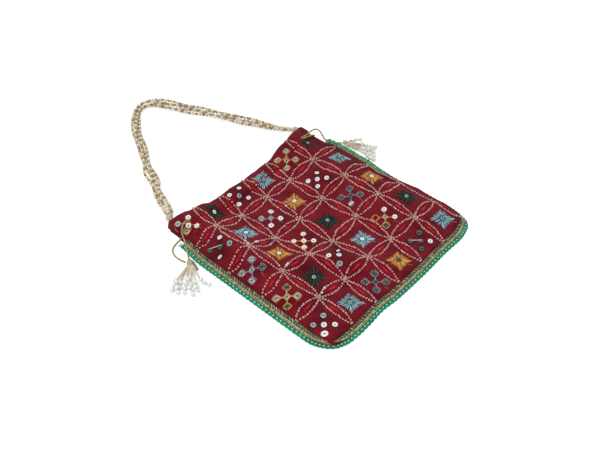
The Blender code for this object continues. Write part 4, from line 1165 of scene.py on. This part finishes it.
def flower(column, row):
    """Five sequins in frames of thread, linked to the middle one."""
    x, y, thread = motif(column, row)
    heap = Heap()
    places = [(x, y)] + [around(x, y, r, t) for t, r in zip(TURNS, REACH)]
    if (column, row) == (1, 1):
        places = [(px * MM, py * MM) for px, py in CORNER_FLOWER]
    for k, (place, state) in enumerate(zip(places, FLOWERS[column][row - 1])):
        framed = k and state in "GDXS"
        size = vary(0.93, 1.05) * (1.12 if framed else 1)
        reach = SEQUIN_R * (1.58 if framed else 1.3 if k else 1.2)
        bold = thread == "mustard" and state in "GDXC"
        if k:
            link_thread(heap, (x, y), place, 5 if bold else 6)
        frame_threads(heap, *place, reach, 5 if bold or thread == "blue" else 6, 3 if bold else 2,
                      0.36 if bold else 0.24)
        if state != "X":
            sequin(heap, *place, state, size)
    if (column, row) in ((5, 5), (1, 2)):
        # A pale thread lies across the left and middle discs
        a, b = Vector(places[3]), Vector(places[0])
        heap.sew(a - (b - a) * 0.3, b + (b - a) * 0.35, (1.7, 1.7), 0.34, 0)
    loose_tail(heap, x + 2 * MM, y - 9 * MM, -1.2 + vary(-0.5, 0.5), vary(2, 6) * MM, 6)
    heap.make(f"flower_threads_{column}_{row}",
              SEQUIN_MATS + (FRAME_BLUE if thread == "blue" else THREADS[thread]),
              "white_sequins", f"flower_{column}_{row}")


STAR_R = 12.8 * MM
STAR_INNER = 2.7 * MM
STAR_RAYS, STAR_CORE_RAYS = 50, 20
STAR_POWER = 0.92                # 1 gives straight sides, less gives hollow ones


def star_reach(turn):
    c, d = abs(cos(turn - TURNS[1])), abs(sin(turn - TURNS[1]))
    return STAR_R / (c ** STAR_POWER + d ** STAR_POWER) ** (1 / STAR_POWER)


def star(column, row):
    """Radiating stitches that fill a four-pointed diamond."""
    x, y, thread = motif(column, row)
    heap = Heap()
    turns = [2 * pi * k / STAR_RAYS for k in range(STAR_RAYS)]
    turns += [t + d for t in TURNS for d in (-0.06, 0.0, 0.05)]
    squeeze = 0.62 if (column, row) == (6, 1) else 1.0
    thick, shades = (0.1 * MM, (6, 7, 5, 7)) if thread == "dark" else (0, (5, 7, 5, 6))
    for k, even in enumerate(turns):
        turn = even + vary(-0.04, 0.04)
        reach = star_reach(turn) * squeeze * vary(0.9, 1.05)
        start = STAR_INNER * vary(0.55, 0.8)
        if k % 3 == 2:
            start, reach = reach * 0.45, reach * vary(1.0, 1.12)
        a = seat(*around(x, y, start, turn), vary(0.45, 0.65) * MM)
        heap.stitch(a, seat(*around(x, y, reach, turn), 0.25 * MM), vary(0.24, 0.38) * MM + thick,
                    shades[k % 4])
    for k in range(STAR_CORE_RAYS):
        turn = 2 * pi * k / STAR_CORE_RAYS + vary(-0.1, 0.1)
        reach = star_reach(turn) * squeeze * vary(0.42, 0.6)
        heap.sew(around(x, y, 1.8 * MM, turn), around(x, y, reach, turn), (0.7, 0.5), 0.28,
                 7 if k % 3 else 6)
    for _ in range(2):
        frame_threads(heap, x, y, STAR_INNER * vary(1.05, 1.3), 7, 1)
    for turn in TURNS if thread == "blue" else ():
        # A near-black stitch on each side of the middle, painted shade for the opening there
        heap.sew(around(x, y, 2.5 * MM, turn), around(x, y, 4.2 * MM, turn), (0.95, 0.85), 0.5, 4)
    sequin(heap, x, y, STAR_MIDDLE.get((column, row), "G"), 0.84)
    loose_tail(heap, x + 3 * MM, y - 8 * MM, -1.0 + vary(-0.5, 0.5), vary(2, 7) * MM, 5)
    heap.make(f"star_threads_{column}_{row}", SEQUIN_MATS + THREADS[thread],
              {"dark": "dark_green"}.get(thread, thread) + "_thread", f"star_{column}_{row}")


petals()
knots()
for column in range(1, COLUMNS + 1):
    for row in range(1, ROWS + 1):
        (flower if column % 2 else star)(column, row)


# Braid and crocheted edging along both sides and the bottom
BRAID_IN, BRAID_OUT = 99.6 * MM, 104.9 * MM
LACE_IN = 105.2 * MM
TRIM_DROP = 2.2 * MM
TRIM_CORNER = 98.4 * MM
BRAID_LOW = 2 * PANEL_T + 2 * GAP
BRAID_TOP = BRAID_LOW + 1.0 * MM
LACE_LIFT = 3.3 * MM             # how far the edging stands up on the right
SCALLOP_PITCH, LEAF_PITCH = 4.5 * MM, 3.0 * MM
LACE_BEAD_SIZE = 0.7 * MM, 0.55 * MM, 0.45 * MM
ARC_STEPS = 8
SCALLOP = 6                      # stitches round one scallop


def trim_path(side, spacing):
    """A U along the left side, the bottom and the right side."""
    y = -side - TRIM_DROP
    radius = side - TRIM_CORNER
    points = [Vector((-side, TRIM_END_Y, 0))]
    for middle_x, first in ((-side + radius, pi), (side - radius, 1.5 * pi)):
        for k in range(ARC_STEPS + 1):
            a = first + pi / 2 * k / ARC_STEPS
            points.append(Vector((middle_x + radius * cos(a), y + radius + radius * sin(a), 0)))
    points.append(Vector((side, TRIM_END_Y, 0)))
    return resample(points, spacing)


def pulled(p):
    """Where a place of the even trim really lies; the edging stands up a little on the right."""
    lift = 0.0
    near = overlap(p.x, p.y, 20 * MM)
    inset = BRAID_OUT - max(abs(p.x), -p.y - TRIM_DROP)
    if inset > 0:
        p = p + Vector((-0.5, -0.5, 0)) * near * inset
    if p.x > BRAID_OUT + 0.1 * MM:
        lift = LACE_LIFT * ease((p.y + 20 * MM) / (25 * MM))
    return drawn_in(p + upwards(lift))


def strip(side, spacing, z):
    """Places along the trim at one distance from the middle, at a height."""
    return [pulled(p + upwards(z)) for p in trim_path(side, spacing)]


def at_share(points, share):
    return points[min(max(round(share * (len(points) - 1)), 0), len(points) - 1)]


def rail(heap, line, wander, radius, shades):
    """Stitches end to end along a line, each lifted a little by chance."""
    for a, b in zip(line, line[1:]):
        lift = upwards(vary(-0.1, 0.25) * MM if wander else 0)
        heap.stitch(a + lift, b + lift, radius * MM, pick(shades))


def braid():
    """Gold base, a row of dark leaves between pale threads, a beaded ridge and a pale edge line."""
    heap = Heap()
    half = (BRAID_OUT - BRAID_IN) / 2
    section = [(-half, -0.4 * MM), (half, -0.4 * MM), (half, 0.15 * MM), (0, 0.35 * MM),
               (-half, 0.15 * MM)]
    heap.sweep(strip((BRAID_IN + BRAID_OUT) / 2, 2.5 * MM, BRAID_LOW + 0.45 * MM),
               lambda k, t: section, 3)
    edge, middle, ridge = (strip(BRAID_IN + inset * MM, 0.5 * MM, BRAID_TOP)
                           for inset in (0, 1.8, 3.6))
    leaves = round(lengths_of(middle)[-1] / LEAF_PITCH)
    for k in range(leaves):
        s, step = (k + 0.5) / leaves, 1 / leaves
        lift = upwards(vary(0, 0.3) * MM)
        for off, radius, mat in ((0.0, 0.62, 1), (-0.42, 0.34, pick((2, 4, 4))),
                                 (0.42, 0.4, pick((3, 0, 4)))):
            heap.stitch(at_share(edge, s + (off - 0.3) * step) + lift,
                        at_share(ridge, s + (off + 0.3) * step) + lift, radius * MM, mat, 0.5)
        # A short pale or green stitch laid across the others
        a, b = at_share(edge, s + 0.3 * step), at_share(ridge, s - 0.3 * step)
        low = vary(0.1, 0.5)
        heap.stitch(a.lerp(b, low) + lift * 2, a.lerp(b, low + 0.35) + lift * 2, 0.3 * MM,
                    pick((2, 4, 1, 0)))
    for inset, radius, pitch, shades in ((3.75, 0.36, 1.2, (0, 3, 4)), (4.35, 0.45, 1.0, (2, 2, 0)),
                                         (4.95, 0.42, 1.4, (3, 0, 2))):
        rail(heap, strip(BRAID_IN + inset * MM, pitch * MM, BRAID_TOP), True, radius, shades)
    rail(heap, strip(BRAID_OUT + 0.25 * MM, 1.2 * MM, BRAID_TOP - 0.75 * MM), False, 0.5, (2, 0, 0))
    heap.make("braid", [BRAID_GOLD, BRAID_GREEN, BRAID_PALE, BRAID_BROWN, BRAID_SAGE], "gold_braid",
              "braid_trim")


def lace():
    """Dense green crochet with a scalloped edge and a small white bead in each scallop."""
    heap = Heap()
    z = 0.95 * MM
    section = [(a * MM, b * MM) for a, b in ((-1.9, -0.4), (1.9, -0.4), (1.9, 0.3), (-1.9, 0.3))]
    heap.sweep(strip(LACE_IN + 1.7 * MM, 2.2 * MM, z - 0.2 * MM), lambda k, t: section, 0)
    for inset, radius, pitch in ((0.15, 0.75, 1.25), (1.2, 0.75, 1.15), (2.3, 0.7, 1.2)):
        line = strip(LACE_IN + inset * MM, pitch * MM, z)
        for a, b in zip(line, line[1:]):
            lift = upwards(vary(-0.1, 0.25) * MM)
            aside = Vector((b.y - a.y, a.x - b.x, 0)).normalized() * vary(0.1, 0.5) * MM
            heap.stitch(a - aside - (b - a) * 0.25 + lift, b + aside + (b - a) * 0.25 + lift,
                        radius * MM, 0, 0.85)
    outer = strip(LACE_IN + 3.0 * MM, 0.45 * MM, z)
    scallops = round(lengths_of(outer)[-1] / SCALLOP_PITCH)
    per = (len(outer) - 1) / scallops
    for k in range(scallops):
        for n in range(SCALLOP):
            a = outer[round((k + n / SCALLOP) * per)]
            b = outer[min(round((k + (n + 1) / SCALLOP) * per), len(outer) - 1)]
            out = Vector((b.y - a.y, a.x - b.x, 0)).normalized() * 0.95 * MM
            a = a + out * sin(pi * n / SCALLOP) ** 0.7
            b = b + out * max(0.0, sin(pi * (n + 1) / SCALLOP)) ** 0.7
            lift = upwards(vary(-0.1, 0.2) * MM)
            heap.stitch(a - (b - a) * 0.3 + lift, b + (b - a) * 0.3 + lift, 0.62 * MM, 0, 0.85)
    beads = strip(LACE_IN + 1.9 * MM, SCALLOP_PITCH, z + 0.75 * MM)
    for k, p in enumerate(beads):
        if p.x > BRAID_IN and p.y > -8 * MM:
            continue
        heap.add(BEAD, laid(p, toward(AXIS_X, heading(beads, k)), *LACE_BEAD_SIZE), 1)
    # The frayed end beside the left corner of the mouth
    end = strip(LACE_IN + 1.5 * MM, 1.0 * MM, z)[0]
    for _ in range(9):
        turn = radians(vary(60, 165))
        tip = Vector((*around(0, 0, vary(2.5, 5.0) * MM, turn), -0.3 * MM))
        heap.stitch(end - Vector((0, 1.5 * MM, 0)), end + tip, 0.3 * MM, 0)
    heap.make("lace", [LACE, LACE_BEAD], "green_lace", "lace_edging")


braid()
lace()

RUN_END, RUN_LOW = 90 * MM, 2.1 * MM


def casing_run(side, sign, eyelet_x, depth):
    """The hidden part of a drawstring: along the front casing, round its end and back."""
    count = 44
    points = []
    for k in range(count + 1):
        x = mix(eyelet_x, sign * RUN_END, k / count)
        y = mouth_y(x) - depth
        points.append(Vector((x, y, max(front_top(x, y) - 2.5 * MM, RUN_LOW + 1.9 * MM))))
    y = mouth_y(sign * RUN_END) - depth
    points.append(Vector((sign * (RUN_END + 1.6 * MM), y, RUN_LOW + 1.0 * MM)))
    for k in range(count + 1):
        x = mix(sign * RUN_END, -sign * RUN_END, k / count)
        points.append(Vector((x, mouth_y(x) - depth, RUN_LOW)))
    heap = Heap()
    heap.sweep([drawn_in(p) for p in smooth_curve(points, 1.5 * MM)],
               rope_ring(0.8 * MM, 3, CORD_LAY, 9))
    heap.make("casing_cord_" + side, [CORD], "gold_cord", "drawstring_run_" + side)


casing_run("left", 1, -85 * MM, 10.7 * MM)
casing_run("right", -1, 82 * MM, 8.1 * MM)
